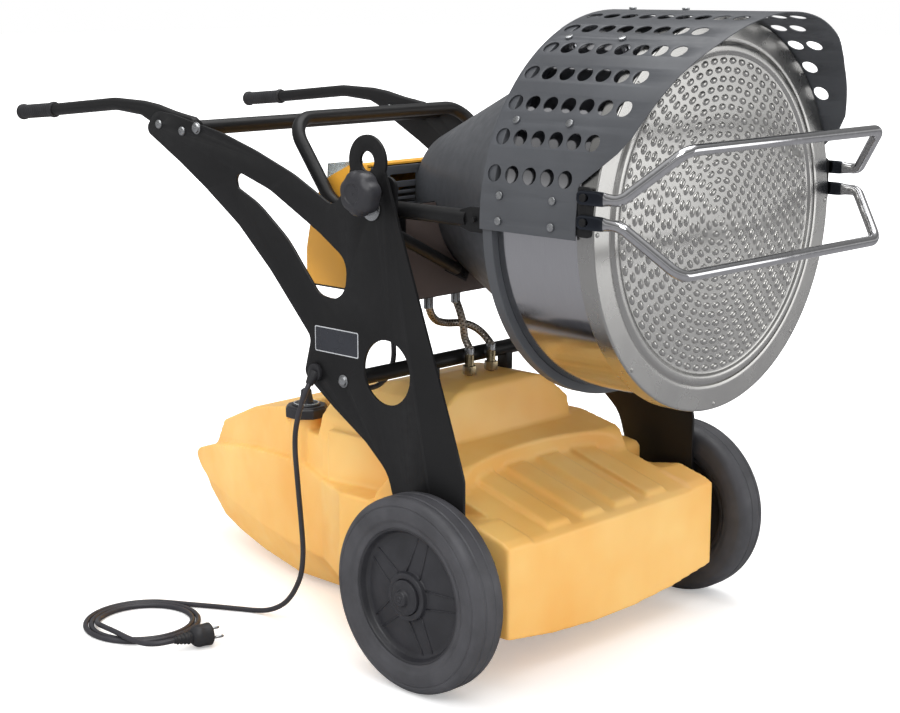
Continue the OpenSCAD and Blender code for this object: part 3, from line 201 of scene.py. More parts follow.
def moulded(name, colour, low, high, grain=700, depth=0.00004, spread=0.15):
    """Moulded plastic or rubber: fine grain, faint scuffs and a slow drift of tone."""
    s = Shader(name)
    dark = tuple(v * (1 - spread) for v in colour)
    light = tuple(v * (1 + spread) for v in colour)
    s.colour(s.ramp(s.noise(24, 5), (0.35, dark), (0.65, light)))
    s.rough(s.noise(45, 4), low, high)
    s.bump(s.noise(grain, 3), depth)
    return s


def tank_plastic():
    s = Shader("tank_plastic")
    deep, light = srgb(240, 178, 88), srgb(247, 203, 122)
    s.colour(s.ramp(s.noise(5, 3), (0.3, deep), (0.7, light)))
    s.rough(s.noise(30, 4), 0.36, 0.5)
    s.bump(s.noise(320, 3), 0.00005)
    s.bump(s.noise(14, 2), 0.0006, 0.5)
    s.set(Subsurface_Weight=0.12, Subsurface_Radius=(0.02, 0.008, 0.002), Subsurface_Scale=0.5)
    return s.material


def braid():
    """Woven steel sheath: two crossing spirals, laid along the hose by its own UV."""
    s = Shader("braid")
    s.set(Metallic=1.0)
    waves = []
    for turn in (0.6, -0.6):
        mapping = s.node("ShaderNodeMapping", Rotation=(0, 0, turn))
        s.wire(s.node("ShaderNodeTexCoord").outputs["UV"], mapping.inputs["Vector"])
        wave = s.node("ShaderNodeTexWave", Scale=55.0, Distortion=0.0)
        s.wire(mapping.outputs["Vector"], wave.inputs["Vector"])
        waves.append(wave.outputs["Fac"])
    both = s.node("ShaderNodeMath", operation="MAXIMUM")
    s.wire(waves[0], both.inputs[0])
    s.wire(waves[1], both.inputs[1])
    s.colour(s.ramp(both.outputs[0], (0.2, srgb(92, 84, 78)), (0.8, srgb(196, 188, 178))))
    s.rough(s.noise(300, 2), 0.3, 0.5)
    s.bump(both.outputs[0], 0.0004)
    return s.material


def clear_plastic():
    s = painted("clear_plastic", srgb(214, 222, 224), 0.12, 0.25, 0.00002)
    s.set(Transmission_Weight=0.75, IOR=1.46)
    return s.material


MATERIALS = {
    "black_paint": painted("black_paint", srgb(26, 26, 27), 0.32, 0.46, sheen=0.3).material,
    "grey_paint": painted("grey_paint", srgb(72, 74, 78), 0.34, 0.48, 0.00005, 900, sheen=0.4).material,
    # Dark grey paint with a warm tint: the tint is a painted reflection of the orange tank
    "tan_sheet": painted("tan_sheet", srgb(84, 74, 71), 0.3, 0.42, 0.00003, 700, 0.06, 0.4).material,
    "stainless": metal("stainless", srgb(196, 195, 192), 0.24, 0.29,
                       grain=40, depth=0.000002, spread=0.03).material,
    "mirror_steel": metal("mirror_steel", srgb(205, 205, 208), 0.07, 0.16, (1, 60, 1), 30).material,
    "chrome": metal("chrome", srgb(214, 214, 216), 0.04, 0.1, grain=160, depth=0.000004).material,
    # The bars' pressed ends: chrome made dark and bluish, a painted dark reflection
    "painted_dark_reflection": metal("painted_dark_reflection", srgb(70, 74, 82), 0.1, 0.2, grain=160, depth=0.000004).material,
    "zinc": metal("zinc", srgb(196, 198, 200), 0.22, 0.4, grain=900).material,
    "rubber": moulded("rubber", srgb(36, 36, 39), 0.42, 0.6).material,
    "tyre_rubber": moulded("tyre_rubber", srgb(66, 66, 70), 0.42, 0.62).material,
    "black_plastic": moulded("black_plastic", srgb(44, 44, 48), 0.3, 0.45).material,
    "tank_plastic": tank_plastic(),
    "cover_paint": painted("cover_paint", srgb(232, 168, 58), 0.3, 0.42, 0.00005, 900, 0.06).material,
    "clear_plastic": clear_plastic(),
    "brass": metal("brass", srgb(176, 160, 128), 0.25, 0.42, grain=700).material,
    "braid": braid(),
    "cast": painted("cast", srgb(120, 122, 126), 0.45, 0.6, 0.0002, 500).material,
    "cable": moulded("cable", srgb(50, 49, 54), 0.34, 0.5, 500).material,
}
LABEL = painted("blank_label", srgb(44, 46, 52), 0.2, 0.3, 0.00001).material
LABEL_EDGE = painted("label_edge", srgb(186, 188, 192), 0.25, 0.35, 0.00001).material

SLOT_OF = {s["node"]: s["material_slot"] for s in frame["record"]["subparts"]}


# Mesh helpers

def body_of(node):
    return NODES[node]["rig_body"]


def mesh_object(name, verts, faces, uvs=None):
    """A smooth-shaded mesh; uvs, if given, has one (u, v) for each corner of each face."""
    mesh = bpy.data.meshes.new(name)
    mesh.from_pydata([tuple(v) for v in verts], [], faces)
    if uvs is not None:
        layer = mesh.uv_layers.new(name="along")
        layer.data.foreach_set("uv", np.array(uvs, float).ravel())
    mesh.validate()
    mesh.shade_smooth()
    made = bpy.data.objects.new(name, mesh)
    bpy.context.scene.collection.objects.link(made)
    return made


def finish_piece(piece, node, replaced=(), slot=None):
    """Gives a piece its finish and lets it ride with, and stand for, the node that it is modelled on."""
    slot = slot or SLOT_OF[node]
    if not piece.data.materials:
        piece.data.materials.append(MATERIALS[slot])
    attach(piece, body_of(node))
    if replaced:
        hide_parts(*replaced)
    return piece


def apply_modifiers(piece):
    """Leaves the modified mesh in the piece, with no modifier on it."""
    graph = bpy.context.evaluated_depsgraph_get()
    piece.data = bpy.data.meshes.new_from_object(piece.evaluated_get(graph))
    piece.modifiers.clear()
    return piece


def weld(mesh, distance=0.00002):
    made = bmesh.new()
    made.from_mesh(mesh)
    bmesh.ops.remove_doubles(made, verts=made.verts, dist=distance)
    bmesh.ops.dissolve_limit(made, angle_limit=math.radians(0.6), verts=made.verts, edges=made.edges)
    made.to_mesh(mesh)
    made.free()


def bevelled(node, width=0.0007, angle=32, segments=2):
    """The CAD node's own shape with its sharp edges rounded, as cut and painted metal has them."""
    mesh = NODES[node].data.copy()
    mesh.materials.clear()
    piece = bpy.data.objects.new(node + "_skin", mesh)
    bpy.context.scene.collection.objects.link(piece)
    weld(mesh)
    mesh.shade_smooth()
    bevel = piece.modifiers.new("edges", "BEVEL")
    bevel.width = width
    bevel.segments = segments
    bevel.limit_method = "ANGLE"
    bevel.angle_limit = math.radians(angle)
    bevel.use_clamp_overlap = True
    bevel.harden_normals = True
    apply_modifiers(piece)
    return finish_piece(piece, node, [node])


def ring_points(count, phase=0.0):
    return [math.tau * (i + phase) / count for i in range(count)]


def lathe(name, outline, centre, axis="y", steps=160, closed=True):
    """Turns an outline of (radius, along) in millimetres about an axis through centre."""
    verts, faces, n = [], [], len(outline)
    for a in ring_points(steps):
        for r, t in outline:
            u, v = r * math.cos(a) / 1000, r * math.sin(a) / 1000
            offset = {"x": (t / 1000, u, v), "y": (u, t / 1000, v), "z": (u, v, t / 1000)}[axis]
            verts.append(centre + Vector(offset))
    for k in range(steps):
        for i in range(n if closed else n - 1):
            j, after = (i + 1) % n, (k + 1) % steps
            faces.append((k * n + i, k * n + j, after * n + j, after * n + i))
    return mesh_object(name, verts, faces)


def rounded_outline(points, steps=4):
    """(radius, along, corner) points as an outline whose corners are arcs of quadratic curves."""
    made, n = [], len(points)
    for i, (a, b, r) in enumerate(points):
        here = np.array((a, b), float)
        before = np.array(points[i - 1][:2], float) - here
        after = np.array(points[(i + 1) % n][:2], float) - here
        if r == 0:
            made.append(tuple(here))
            continue
        cut = min(r, 0.48 * np.linalg.norm(before), 0.48 * np.linalg.norm(after))
        p, q = (here + d / np.linalg.norm(d) * cut for d in (before, after))
        for s in range(steps + 1):
            t = s / steps
            made.append(tuple((1 - t) ** 2 * p + 2 * t * (1 - t) * here + t * t * q))
    return made


def turned(name, points, centre, axis="y", steps=160):
    return lathe(name, rounded_outline(points), centre, axis, steps)


def frames_along(path, up):
    """A side and an up direction at each point of a path, carried along without twist."""
    tangents = []
    for i in range(len(path)):
        tangents.append((path[min(i + 1, len(path) - 1)] - path[max(i - 1, 0)]).normalized())
    side = tangents[0].cross(Vector(up)).normalized()
    made = []
    for t in tangents:
        side = (side - t * side.dot(t)).normalized()
        made.append((side, t.cross(side).normalized()))
    return made


def swept(name, path, half, up=(0, 0, 1), around=24, capped=True, square=None):
    """A bar along path whose half width and half height, in metres, are given at each point.

    square is how far a section is from round, from 0 to 1, at each point. UV runs along the bar in metres.
    """
    verts, faces, uvs = [], [], []
    run = [0.0]
    for a, b in zip(path, path[1:]):
        run.append(run[-1] + (b - a).length)
    for i, (p, (side, top)) in enumerate(zip(path, frames_along(path, up))):
        w, h = half[i] if isinstance(half, list) else (half, half)
        bulge = square[i] if square else 0.0
        for a in ring_points(around):
            c, s = math.cos(a), math.sin(a)
            power = 1 - 0.75 * bulge
            c = math.copysign(abs(c) ** power, c)
            s = math.copysign(abs(s) ** power, s)
            verts.append(p + side * (w * c) + top * (h * s))
    girth = math.tau * (half[0][0] if isinstance(half, list) else half)
    for i in range(len(path) - 1):
        for k in range(around):
            j = (k + 1) % around
            faces.append((i * around + k, i * around + j, (i + 1) * around + j, (i + 1) * around + k))
            v0, v1 = girth * k / around, girth * (k + 1) / around
            uvs += [(run[i], v0), (run[i], v1), (run[i + 1], v1), (run[i + 1], v0)]
    if capped:
        last = (len(path) - 1) * around
        faces.append(tuple(range(around - 1, -1, -1)))
        faces.append(tuple(last + k for k in range(around)))
        uvs += [(0, 0)] * (2 * around)
    return mesh_object(name, verts, faces, uvs)


def spline(points, steps):
    """The smooth curve of the source through given points."""
    made = []
    for i in range(len(points) - 1):
        a, b = points[max(i - 1, 0)], points[i]
        c, d = points[i + 1], points[min(i + 2, len(points) - 1)]
        for k in range(steps):
            t = k / steps
            bend = (a * 2 - b * 5 + c * 4 - d) * t * t
            made.append((b * 2 + (c - a) * t + bend + (b * 3 - a - c * 3 + d) * t**3) / 2)
    return made + [points[-1]]


def bent(corners, radii, steps=10):
    """A path of straight runs whose corners, after the first and before the last, are arcs."""
    made = [corners[0]]
    for i, r in enumerate(radii):
        p, before, after = corners[i + 1], corners[i], corners[i + 2]
        a, b = (before - p).normalized(), (after - p).normalized()
        half_angle = a.angle(b) / 2
        reach = min(r / math.tan(half_angle), 0.49 * (before - p).length, 0.49 * (after - p).length)
        radius = reach * math.tan(half_angle)
        centre = p + (a + b).normalized() * (radius / math.sin(half_angle))
        start, end = p + a * reach - centre, p + b * reach - centre
        turn = start.angle(end)
        for k in range(steps + 1):
            t = k / steps
            spoke = (start * math.sin((1 - t) * turn) + end * math.sin(t * turn)) / math.sin(turn)
            made.append(centre + spoke)
    return made + [corners[-1]]


def joined(name, pieces):
    """Several loose meshes as one object."""
    made = bmesh.new()
    for piece in pieces:
        made.from_mesh(piece.data)
        old = piece.data
        bpy.data.objects.remove(piece)
        bpy.data.meshes.remove(old)
    mesh = bpy.data.meshes.new(name)
    made.to_mesh(mesh)
    made.free()
    whole = bpy.data.objects.new(name, mesh)
    bpy.context.scene.collection.objects.link(whole)
    return whole


# Wheels

WHEEL_IN = 291
STAR_ARMS = 5
STAR_PHASE = 33
LEAN_AT_HUB = 23
LEAN_AT_RIM = 6
TYRE_OUTLINE = [
    (103, 6, 0), (112, 3, 2), (118, 0.6, 3), (128, 0.6, 4), (141, 3, 5), (147.5, 10, 6), (149.8, 19, 4),
    (149.9, 26, 0.5), (148.9, 27, 0.3), (148.9, 29, 0.3), (149.9, 30, 0.5), (149.9, 45, 1),
    (148.4, 46.2, 0.5), (148.4, 48.6, 0.5), (149.5, 50, 0.8), (148.6, 56, 4), (144, 62.4, 5),
    (138.2, 64.4, 1), (136.4, 63.2, 0.6), (134.6, 64.8, 1), (126, 65.9, 3), (117, 65.2, 2),
    (112, 62, 2), (108, 61.2, 1), (103, 61, 0),
]
RIM_OUTLINE = [
    (10.1, 1, 1), (24, 1, 2), (24, 25, 2), (92, 27, 3), (96, 7, 3), (103.2, 5.5, 1), (103.2, 60.4, 1),
    (99.5, 59.6, 1.5), (95.5, 49, 3), (90, 47.4, 3), (38, 53.5, 2), (36.4, 61.2, 1), (34, 62.2, 0.8),
    (27.6, 61.8, 0.5), (27.4, 58.6, 0.3), (10.1, 58.4, 0),
]
CAP_OUTLINE = [
    (0.01, 77.2, 0), (4.6, 77, 1), (5.4, 75.6, 0.5), (7.6, 76.4, 1), (11.4, 74.6, 1.5), (13, 69.6, 1),
    (14.4, 68.6, 0.5), (20, 68.2, 1), (26.6, 65.4, 1), (26.8, 59.4, 0.3), (12.2, 63.2, 0.5), (0.01, 64, 0),
]


def outward(outline, side):
    return [(r, side * t, corner) for r, t, corner in outline]


def star_rib(side, arm, lean):
    """A thin tapered rib, wide apart from its twin at the hub and close to it at the rim."""
    inner_r, outer_r = 0.0365, 0.0945
    inner_angle = math.radians(STAR_PHASE + 360 / STAR_ARMS * arm + lean * LEAN_AT_HUB)
    outer_angle = math.radians(STAR_PHASE + 360 / STAR_ARMS * arm + lean * LEAN_AT_RIM)
    path = []
    for t in (0, 0.25, 0.5, 0.75, 1):
        a = Vector((0, math.cos(inner_angle), math.sin(inner_angle))) * inner_r
        b = Vector((0, math.cos(outer_angle), math.sin(outer_angle))) * outer_r
        x = side * (WHEEL_IN + 51.5 - 5 * t) / 1000
        path.append(a.lerp(b, t) + Vector((x, -AXLE_TO_ROW, AXLE_Z)))
    half = [(0.0013, 0.0042 - 0.0008 * i) for i in range(5)]
    return swept("rib", path, half, (1, 0, 0), 12, True, [0.7] * 5)


def wheel(side, name):
    centre = Vector((side * WHEEL_IN / 1000, -AXLE_TO_ROW, AXLE_Z))
    tyre = turned("tyre_tread_" + name, outward(TYRE_OUTLINE, side), centre, "x", 192)
    finish_piece(tyre, "tyre_" + name, ["tyre_" + name])
    disc = turned("rim_disc_" + name, outward(RIM_OUTLINE, side), centre, "x", 144)
    ribs = [star_rib(side, arm, lean) for arm in range(STAR_ARMS) for lean in (-1, 1)]
    rim = joined("rim_star_" + name, [disc] + ribs)
    finish_piece(rim, "rim_" + name, ["rim_" + name])
    cap = turned("hub_dome_" + name, outward(CAP_OUTLINE, side), centre, "x", 96)
    finish_piece(cap, "hub_cap_" + name, ["hub_cap_" + name])


# Drum: rings, mirror band, dimpled disc and cone

DIMPLE_RINGS = 17
DIMPLE_PITCH = 0.013
DIMPLE_SPACING = 0.0225  # round each ring, from middle to middle
DIMPLE_LONGEST = 0.0165
DIMPLE_SHARE = 0.74  # the most of its spacing that a dimple takes
DIMPLE_WIDTH = 0.0098
DIMPLE_HEIGHT = 0.0028
DIMPLE_FOOT = -0.0001  # just before the sheet
DISC_FRONT = -288
RING_RIVETS = 8
RIVET_RING_R = 0.277
RIVET_FOOT = -0.2894
RIVET_R = 0.0036
RIVET_HEIGHT = 0.0016


def dimple(angle, radius, y, length, width, height):
    """One pressed dimple: a small oval dome with its long side round the ring."""
    out = Vector((math.cos(angle), 0, math.sin(angle)))
    along = Vector((-math.sin(angle), 0, math.cos(angle)))
    rows = [(1.0, 0.0), (0.86, 0.5), (0.55, 0.88)]
    verts = []
    for share, rise in rows:
        for a in ring_points(10):
            offset = along * (math.cos(a) * length / 2) + out * (math.sin(a) * width / 2)
            verts.append(out * radius + offset * share + Vector((0, y - rise * height, 0)))
    verts.append(out * radius + Vector((0, y - height, 0)))
    faces = []
    for row in range(len(rows) - 1):
        for k in range(10):
            j = (k + 1) % 10
            faces.append((row * 10 + j, row * 10 + k, row * 10 + 10 + k, row * 10 + 10 + j))
    faces += [((k + 1) % 10 + 20, k + 20, 30) for k in range(10)]
    return verts, faces


def emitter_disc():
    front = at(0, DISC_FRONT, TILT_Z)
    outline = [
        (0.01, 0, 0), (1, 0, 0), (110, 0, 0), (200, 0, 0), (219, 0, 0), (223, 0, 2), (229, -0.2, 1.5),
        (233.5, -3.4, 3), (242.5, -3.4, 3), (247, 0.2, 1.5), (252, 0.2, 0), (268, 0.2, 0),
        (271.5, 0.2, 0.5), (271.5, 2, 0.5), (0.01, 2, 0),
    ]
    sheet = turned("disc_sheet", outline, front, "y", 256)
    verts, faces = [], []
    for ring in range(1, DIMPLE_RINGS + 1):
        radius = ring * DIMPLE_PITCH
        count = round(math.tau * radius / DIMPLE_SPACING)
        length = min(DIMPLE_LONGEST, math.tau * radius / count * DIMPLE_SHARE)
        for a in ring_points(count, 0.5 * (ring % 2)):
            v, f = dimple(a, radius, DIMPLE_FOOT, length, DIMPLE_WIDTH, DIMPLE_HEIGHT)
            faces += [tuple(i + len(verts) for i in face) for face in f]
            verts += [front + p for p in v]
    disc = joined("dimpled_disc", [sheet, mesh_object("dimples", verts, faces)])
    finish_piece(disc, "emitter_disc", ["emitter_disc"])


def rivet(centre, along, radius, height, steps=20):
    """A low domed head standing on a surface at centre, with its top in the direction along."""
    top = along.normalized()
    side = top.orthogonal().normalized()
    up = top.cross(side)
    rows = [(1.0, 0.0), (1.0, 0.35), (0.86, 0.72), (0.5, 0.96)]
    verts = []
    for share, rise in rows:
        for a in ring_points(steps):
            verts.append(
                centre + (side * math.cos(a) + up * math.sin(a)) * radius * share + top * rise * height
            )
    verts.append(centre + top * height)
    faces = []
    for row in range(len(rows) - 1):
        for k in range(steps):
            j = (k + 1) % steps
            faces.append((row * steps + k, row * steps + j, (row + 1) * steps + j, (row + 1) * steps + k))
    last = (len(rows) - 1) * steps
    faces += [(last + k, last + (k + 1) % steps, len(verts) - 1) for k in range(steps)]
    return mesh_object("rivet", verts, faces)


def drum():
    pivot_line = at(0, 0, TILT_Z)
    ring = [
        (248, -289, 0.4), (252, -289.6, 1), (256, -289.6, 0), (281, -289.6, 0), (283.4, -289.6, 1.2),
        (285, -288, 1.2), (285, -285, 0), (285, -263, 0), (285, -261, 0.8),
        (274.2, -261, 0.3), (274.2, -262.5, 0.3), (283.4, -262.6, 1), (283.4, -287.6, 1), (248, -287.8, 0.4),
    ]
    rim = turned("flange_ring", ring, pivot_line, "y", 256)
    rivets = []
    for a in ring_points(RING_RIVETS):
        spot = pivot_line + Vector((RIVET_RING_R * math.cos(a), RIVET_FOOT, RIVET_RING_R * math.sin(a)))
        rivets.append(rivet(spot, Vector((0, -1, 0)), RIVET_R, RIVET_HEIGHT))
    finish_piece(joined("flange_with_rivets", [rim] + rivets), "front_ring", ["front_ring"])
    band = [
        (272, -286, 0.2), (274, -286, 0.2), (274, -284, 0), (274, -96, 0), (274, -94, 0.2), (272, -94, 0.2),
    ]
    finish_piece(turned("mirror_band", band, pivot_line, "y", 256), "drum_band", ["drum_band"])
    rear = [
        (274.2, -108, 0.3), (286, -108, 1.5), (287, -107, 0.5), (287, -90.5, 1.2), (250, -90.5, 0.5),
        (250, -92, 0.3), (285.5, -92, 1), (285.5, -106.5, 1), (274.2, -106.5, 0.3),
    ]
    finish_piece(turned("dark_ring", rear, pivot_line, "y", 256), "rear_ring", ["rear_ring"])
    cone = [
        (271.9, -94, 0.3), (271.9, -92, 0.3), (249, -92, 2), (247, -90, 3), (242.2, -80, 0), (94.8, 230, 0),
        (90, 240, 4), (41.2, 240, 0.3), (41.2, 238, 0.3), (88, 238, 3), (245, -92, 3), (245, -94, 0.5),
    ]
    finish_piece(turned("drum_cone", cone, pivot_line, "y", 224), "rear_shell", ["rear_shell"])


# Chrome guard handles, tilt hoop and push handles

# For each bar, in millimetres: the height of its bolts, the height of its front, half its front's length
GUARD_BARS = {"upper": (757, 823, 236), "lower": (724, 659, 242)}
GUARD_Y = -402.7
GUARD_BEND_Y = -338
GUARD_BENDS = [0.026, 0.028, 0.028, 0.026]
BAR_R = 8
FLAT_X = 289.5
FLAT_FROM = -322  # the pressed part starts here
FLAT_RUN = 20  # and has its full flatness this far on
THINNER = 6  # what pressing takes from half the thickness
TALLER = 2  # and adds to half the height
END_FROM = -270  # the pressed end is rounded from here
END_RUN = 5.4
# Faces past this take the dark bluish metal, a painted dark reflection
PAINTED_REFLECTION_FROM = -312


def guard_handle(name):
    """One bar bent twice at each side, with its two ends pressed flat for the bolts."""
    rise, bar_z, half = GUARD_BARS[name]
    left = [at(-FLAT_X, y, rise) for y in (-264.6, -266, -270, -282, -300, -306, -312, -318)]
    front = [
        at(-FLAT_X, GUARD_BEND_Y, rise), at(-half, GUARD_Y, bar_z),
        at(half, GUARD_Y, bar_z), at(FLAT_X, GUARD_BEND_Y, rise),
    ]
    right = [Vector((-p.x, p.y, p.z)) for p in reversed(left)]
    path = left[:-1] + bent([left[-1]] + front + [right[0]], GUARD_BENDS, 12) + right[1:]
    half_sizes, square = [], []
    for p in path:
        y = 1000 * (p.y + AXLE_TO_ROW)
        flat = min(max((y - FLAT_FROM) / FLAT_RUN, 0), 1)
        flat = flat * flat * (3 - 2 * flat)
        end = 1 - max(0, (y - END_FROM) / END_RUN) ** 2 * 0.5
        half_sizes.append(((BAR_R - THINNER * flat) / 1000, (BAR_R + TALLER * flat) * end / 1000))
        square.append(0.75 * flat)
    name_of = "guard_handle_" + name
    bar = swept("chrome_bar_" + name, path, half_sizes, (0, 0, 1), 28, True, square)
    finish_piece(bar, name_of, [name_of])
    # The pressed ends take the dark bluish metal: a painted dark reflection on the chrome
    bar.data.materials.append(MATERIALS["painted_dark_reflection"])
    for face in bar.data.polygons:
        if 1000 * (face.center.y + AXLE_TO_ROW) > PAINTED_REFLECTION_FROM:
            face.material_index = 1


HOOP_X = 203
HOOP_LOW = 688
HOOP_HIGH = 821
HOOP_FOOT_Y = 210.2
HOOP_BEND_Y = 308
HOOP_BACK_Y = 411
HOOP_TUBE_R = 0.011


def tilt_hoop():
    side = [(HOOP_FOOT_Y, HOOP_LOW), (HOOP_BEND_Y, HOOP_LOW), (HOOP_BACK_Y, HOOP_HIGH)]
    corners = [at(-HOOP_X, y, z) for y, z in side] + [at(HOOP_X, y, z) for y, z in reversed(side)]
    path = bent(corners, [0.060, 0.046, 0.046, 0.060], 14)
    finish_piece(swept("hoop_tube", path, HOOP_TUBE_R, (0, 0.81, -0.59), 32), "tilt_hoop", ["tilt_hoop"])


ARM_X = 268
ARM_END = at(ARM_X, 1080, 803)
ARM_BEND = at(ARM_X, 972, 812.5)


def push_handle(side, name):
    """The arm is one tube, pressed to a tall flat section where it is bolted behind the side plate."""
    def there(y, z):
        return at(side * ARM_X, y, z)
    flat = [
        (568, 803, 12, 8), (576, 803, 16, 9), (600, 804, 18, 9.5), (632, 808, 19, 9.8), (676, 819, 17, 10),
    ]
    path = [there(y, z) for y, z, h, w in flat]
    tube = [there(712, 827.5), there(790, 831), there(972, 812.5), there(1080, 803)]
    tube_path = bent(tube, [0.16, 0.4], 12)
    half = [(w / 1000, h / 1000) for y, z, h, w in flat]
    half += [(0.0108, 0.0125)] + [(0.0109, 0.0109)] * (len(tube_path) - 1)
    square = [0.7, 0.7, 0.7, 0.6, 0.45, 0.2] + [0.0] * (len(tube_path) - 1)
    arm = swept("push_arm_" + name, path + tube_path, half, (0, 0, 1), 32, True, square)
    finish_piece(arm, "handle_arm_" + name, ["handle_arm_" + name])
    grip(side, name)


def aimed(piece, origin, direction):
    """Moves a piece built on +Z at the origin so that it stands at origin and points along direction."""
    turn = Vector((0, 0, 1)).rotation_difference(direction.normalized()).to_matrix().to_4x4()
    piece.data.transform(Matrix.Translation(origin) @ turn)
    return piece


def grip(side, name):
    back = (ARM_END - ARM_BEND).normalized()
    outline = [
        (0.01, 0, 0), (11.6, 0, 2), (14.4, 2, 2), (14.4, 8.6, 1.5), (12.4, 11, 1.5), (12.2, 30, 0),
        (11.9, 55, 0), (12.4, 99, 1), (14.3, 101, 1), (14.4, 105.4, 1.2), (13, 107.6, 1), (12.8, 109.6, 0.6),
        (11.1, 109.8, 0.2), (11.1, 3, 0.2), (0.01, 3, 0),
    ]
    sleeve = turned("sleeve", outline, Vector(), "z", 72)
    rings = [
        turned("ridge", [(12.1, t, 0.3), (12.75, t + 0.7, 0.5), (12.75, t + 1.5, 0.5), (12.1, t + 2.2, 0.3)],
               Vector(), "z", 48)
        for t in range(20, 96, 6)
    ]
    whole = joined("grip_sleeve_" + name, [sleeve] + rings)
    end = Vector((side * ARM_END.x, ARM_END.y, ARM_END.z)) + Vector((0, back.y, back.z)) * 0.0033
    aimed(whole, end, Vector((0, -back.y, -back.z)))
    finish_piece(whole, "grip_" + name, ["grip_" + name])


# Clamp knob and filler cap

KNOB_LOBES = 7
LOBE_DEPTH = 0.07
LOBES_FROM = 0.018
LOBE_PHASE = 0.5
KNOB_FOOT = (-296.3, 124, 733)


def lobed(piece, lobes, depth, from_radius, axis_phase=0.0):
    """Draws the rim of a piece turned on +Z in between its lobes; radii are in metres."""
    for v in piece.data.vertices:
        r = math.hypot(v.co.x, v.co.y)
        if r <= from_radius:
            continue
        a = math.atan2(v.co.y, v.co.x) + axis_phase
        valley = (0.5 - 0.5 * math.cos(lobes * a)) ** 1.6
        share = min(1, (r - from_radius) / 0.012)
        v.co.x *= 1 - depth * valley * share
        v.co.y *= 1 - depth * valley * share
    return piece


def tilt_knob():
    centre = at(*KNOB_FOOT)
    head = [
        (9, 0, 0), (9.5, 5, 1), (23, 6.5, 4), (33, 9.5, 6), (35, 20, 8), (33.8, 32, 9), (25, 40, 10),
        (15.5, 41.8, 3), (13.6, 39.4, 2), (6, 38.4, 3), (0.01, 38.2, 0), (0.01, 0, 0),
    ]
    round_head = turned("knob_head", head, Vector(), "z", 224)
    body = lobed(round_head, KNOB_LOBES, LOBE_DEPTH, LOBES_FROM, LOBE_PHASE)
    neck = turned("knob_neck", [(4, -13, 0), (9, -12.8, 0.5), (9, 1, 0.5), (4, 1, 0)], Vector(), "z", 48)
    stud = turned("knob_stud", [(0.01, -53, 0), (3.6, -53, 0.5), (4, -52, 0.5), (4, -12, 0), (0.01, -12, 0)],
                  Vector(), "z", 32)
    whole = joined("lobed_knob", [body, neck, stud])
    aimed(whole, centre, Vector((-1, 0, 0)))
    finish_piece(whole, "tilt_knob", ["tilt_knob"])


FILLER_X = -166
FILLER_Y = 424
FILLER = at(FILLER_X, FILLER_Y, 0)
CAP_FLATS = 8
CAP_ROUND = 0.2  # how far the eight sides are from flat, from 0 to 1
CAP_RING = 0.030  # what lies within this radius stays round


def filler_cap():
    """An eight-sided cap with soft corners; cap_gauge adds its clear gauge dome and a float rod housing on
    top.
    """
    low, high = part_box("filler_cap")
    height = (high.z - low.z) * 1000
    skirt = [
        (26.4, 0, 0), (35, 0, 1.5), (36.5, 1.5, 2), (36.8, height - 4, 1), (34.2, height - 2.6, 1.2),
        (33.5, height, 1.2), (24.2, height, 0.8), (24.2, height - 2, 0.3), (0.01, height - 2, 0),
        (0.01, height - 4, 0), (26.4, height - 4, 0.5),
    ]
    cap = turned("cap_skirt", skirt, Vector(), "z", 160)
    for v in cap.data.vertices:
        r = math.hypot(v.co.x, v.co.y)
        if r < CAP_RING:
            continue
        a = (math.atan2(v.co.y, v.co.x) - math.pi / CAP_FLATS) % (math.tau / CAP_FLATS) - math.pi / CAP_FLATS
        flat = math.cos(math.pi / CAP_FLATS) / math.cos(a)
        share = (1 - CAP_ROUND) * flat + CAP_ROUND
        v.co.x, v.co.y = v.co.x * share, v.co.y * share
    aimed(cap, FILLER + Vector((0, 0, low.z)), Vector((0, 0, 1)))
    cap.name = "octagon_cap"
    finish_piece(cap, "filler_cap", ["filler_cap"])


def cap_gauge():
    low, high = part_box("cap_gauge")
    lens = [
        (0.01, 0, 0), (23.9, 0, 0.5), (23.9, 3.6, 1), (21, 5, 1.2), (13, 5.2, 1), (12, 6.4, 1), (11.2, 11, 1),
        (9.4, 21, 1), (9, 27.5, 2), (4, 30.5, 2), (0.01, 30.8, 0),
    ]
    dome = turned("gauge_dome", lens, Vector(), "z", 96)
    aimed(dome, FILLER + Vector((0, 0, low.z)), Vector((0, 0, 1)))
    dome.data.materials.append(MATERIALS["black_plastic"])
    finish_piece(dome, "cap_gauge", ["cap_gauge"])
    ring = turned("gauge_ring", [(19.4, 5.1, 0.3), (21.6, 5.1, 0.3), (21.2, 6.2, 0.5), (19.8, 6.2, 0.5)],
                  Vector(), "z", 96)
    aimed(ring, FILLER + Vector((0, 0, low.z)), Vector((0, 0, 1)))
    finish_piece(ring, "cap_gauge", slot="clear_plastic")


# Mains lead, its coil and plug, fuel hoses and inner cable

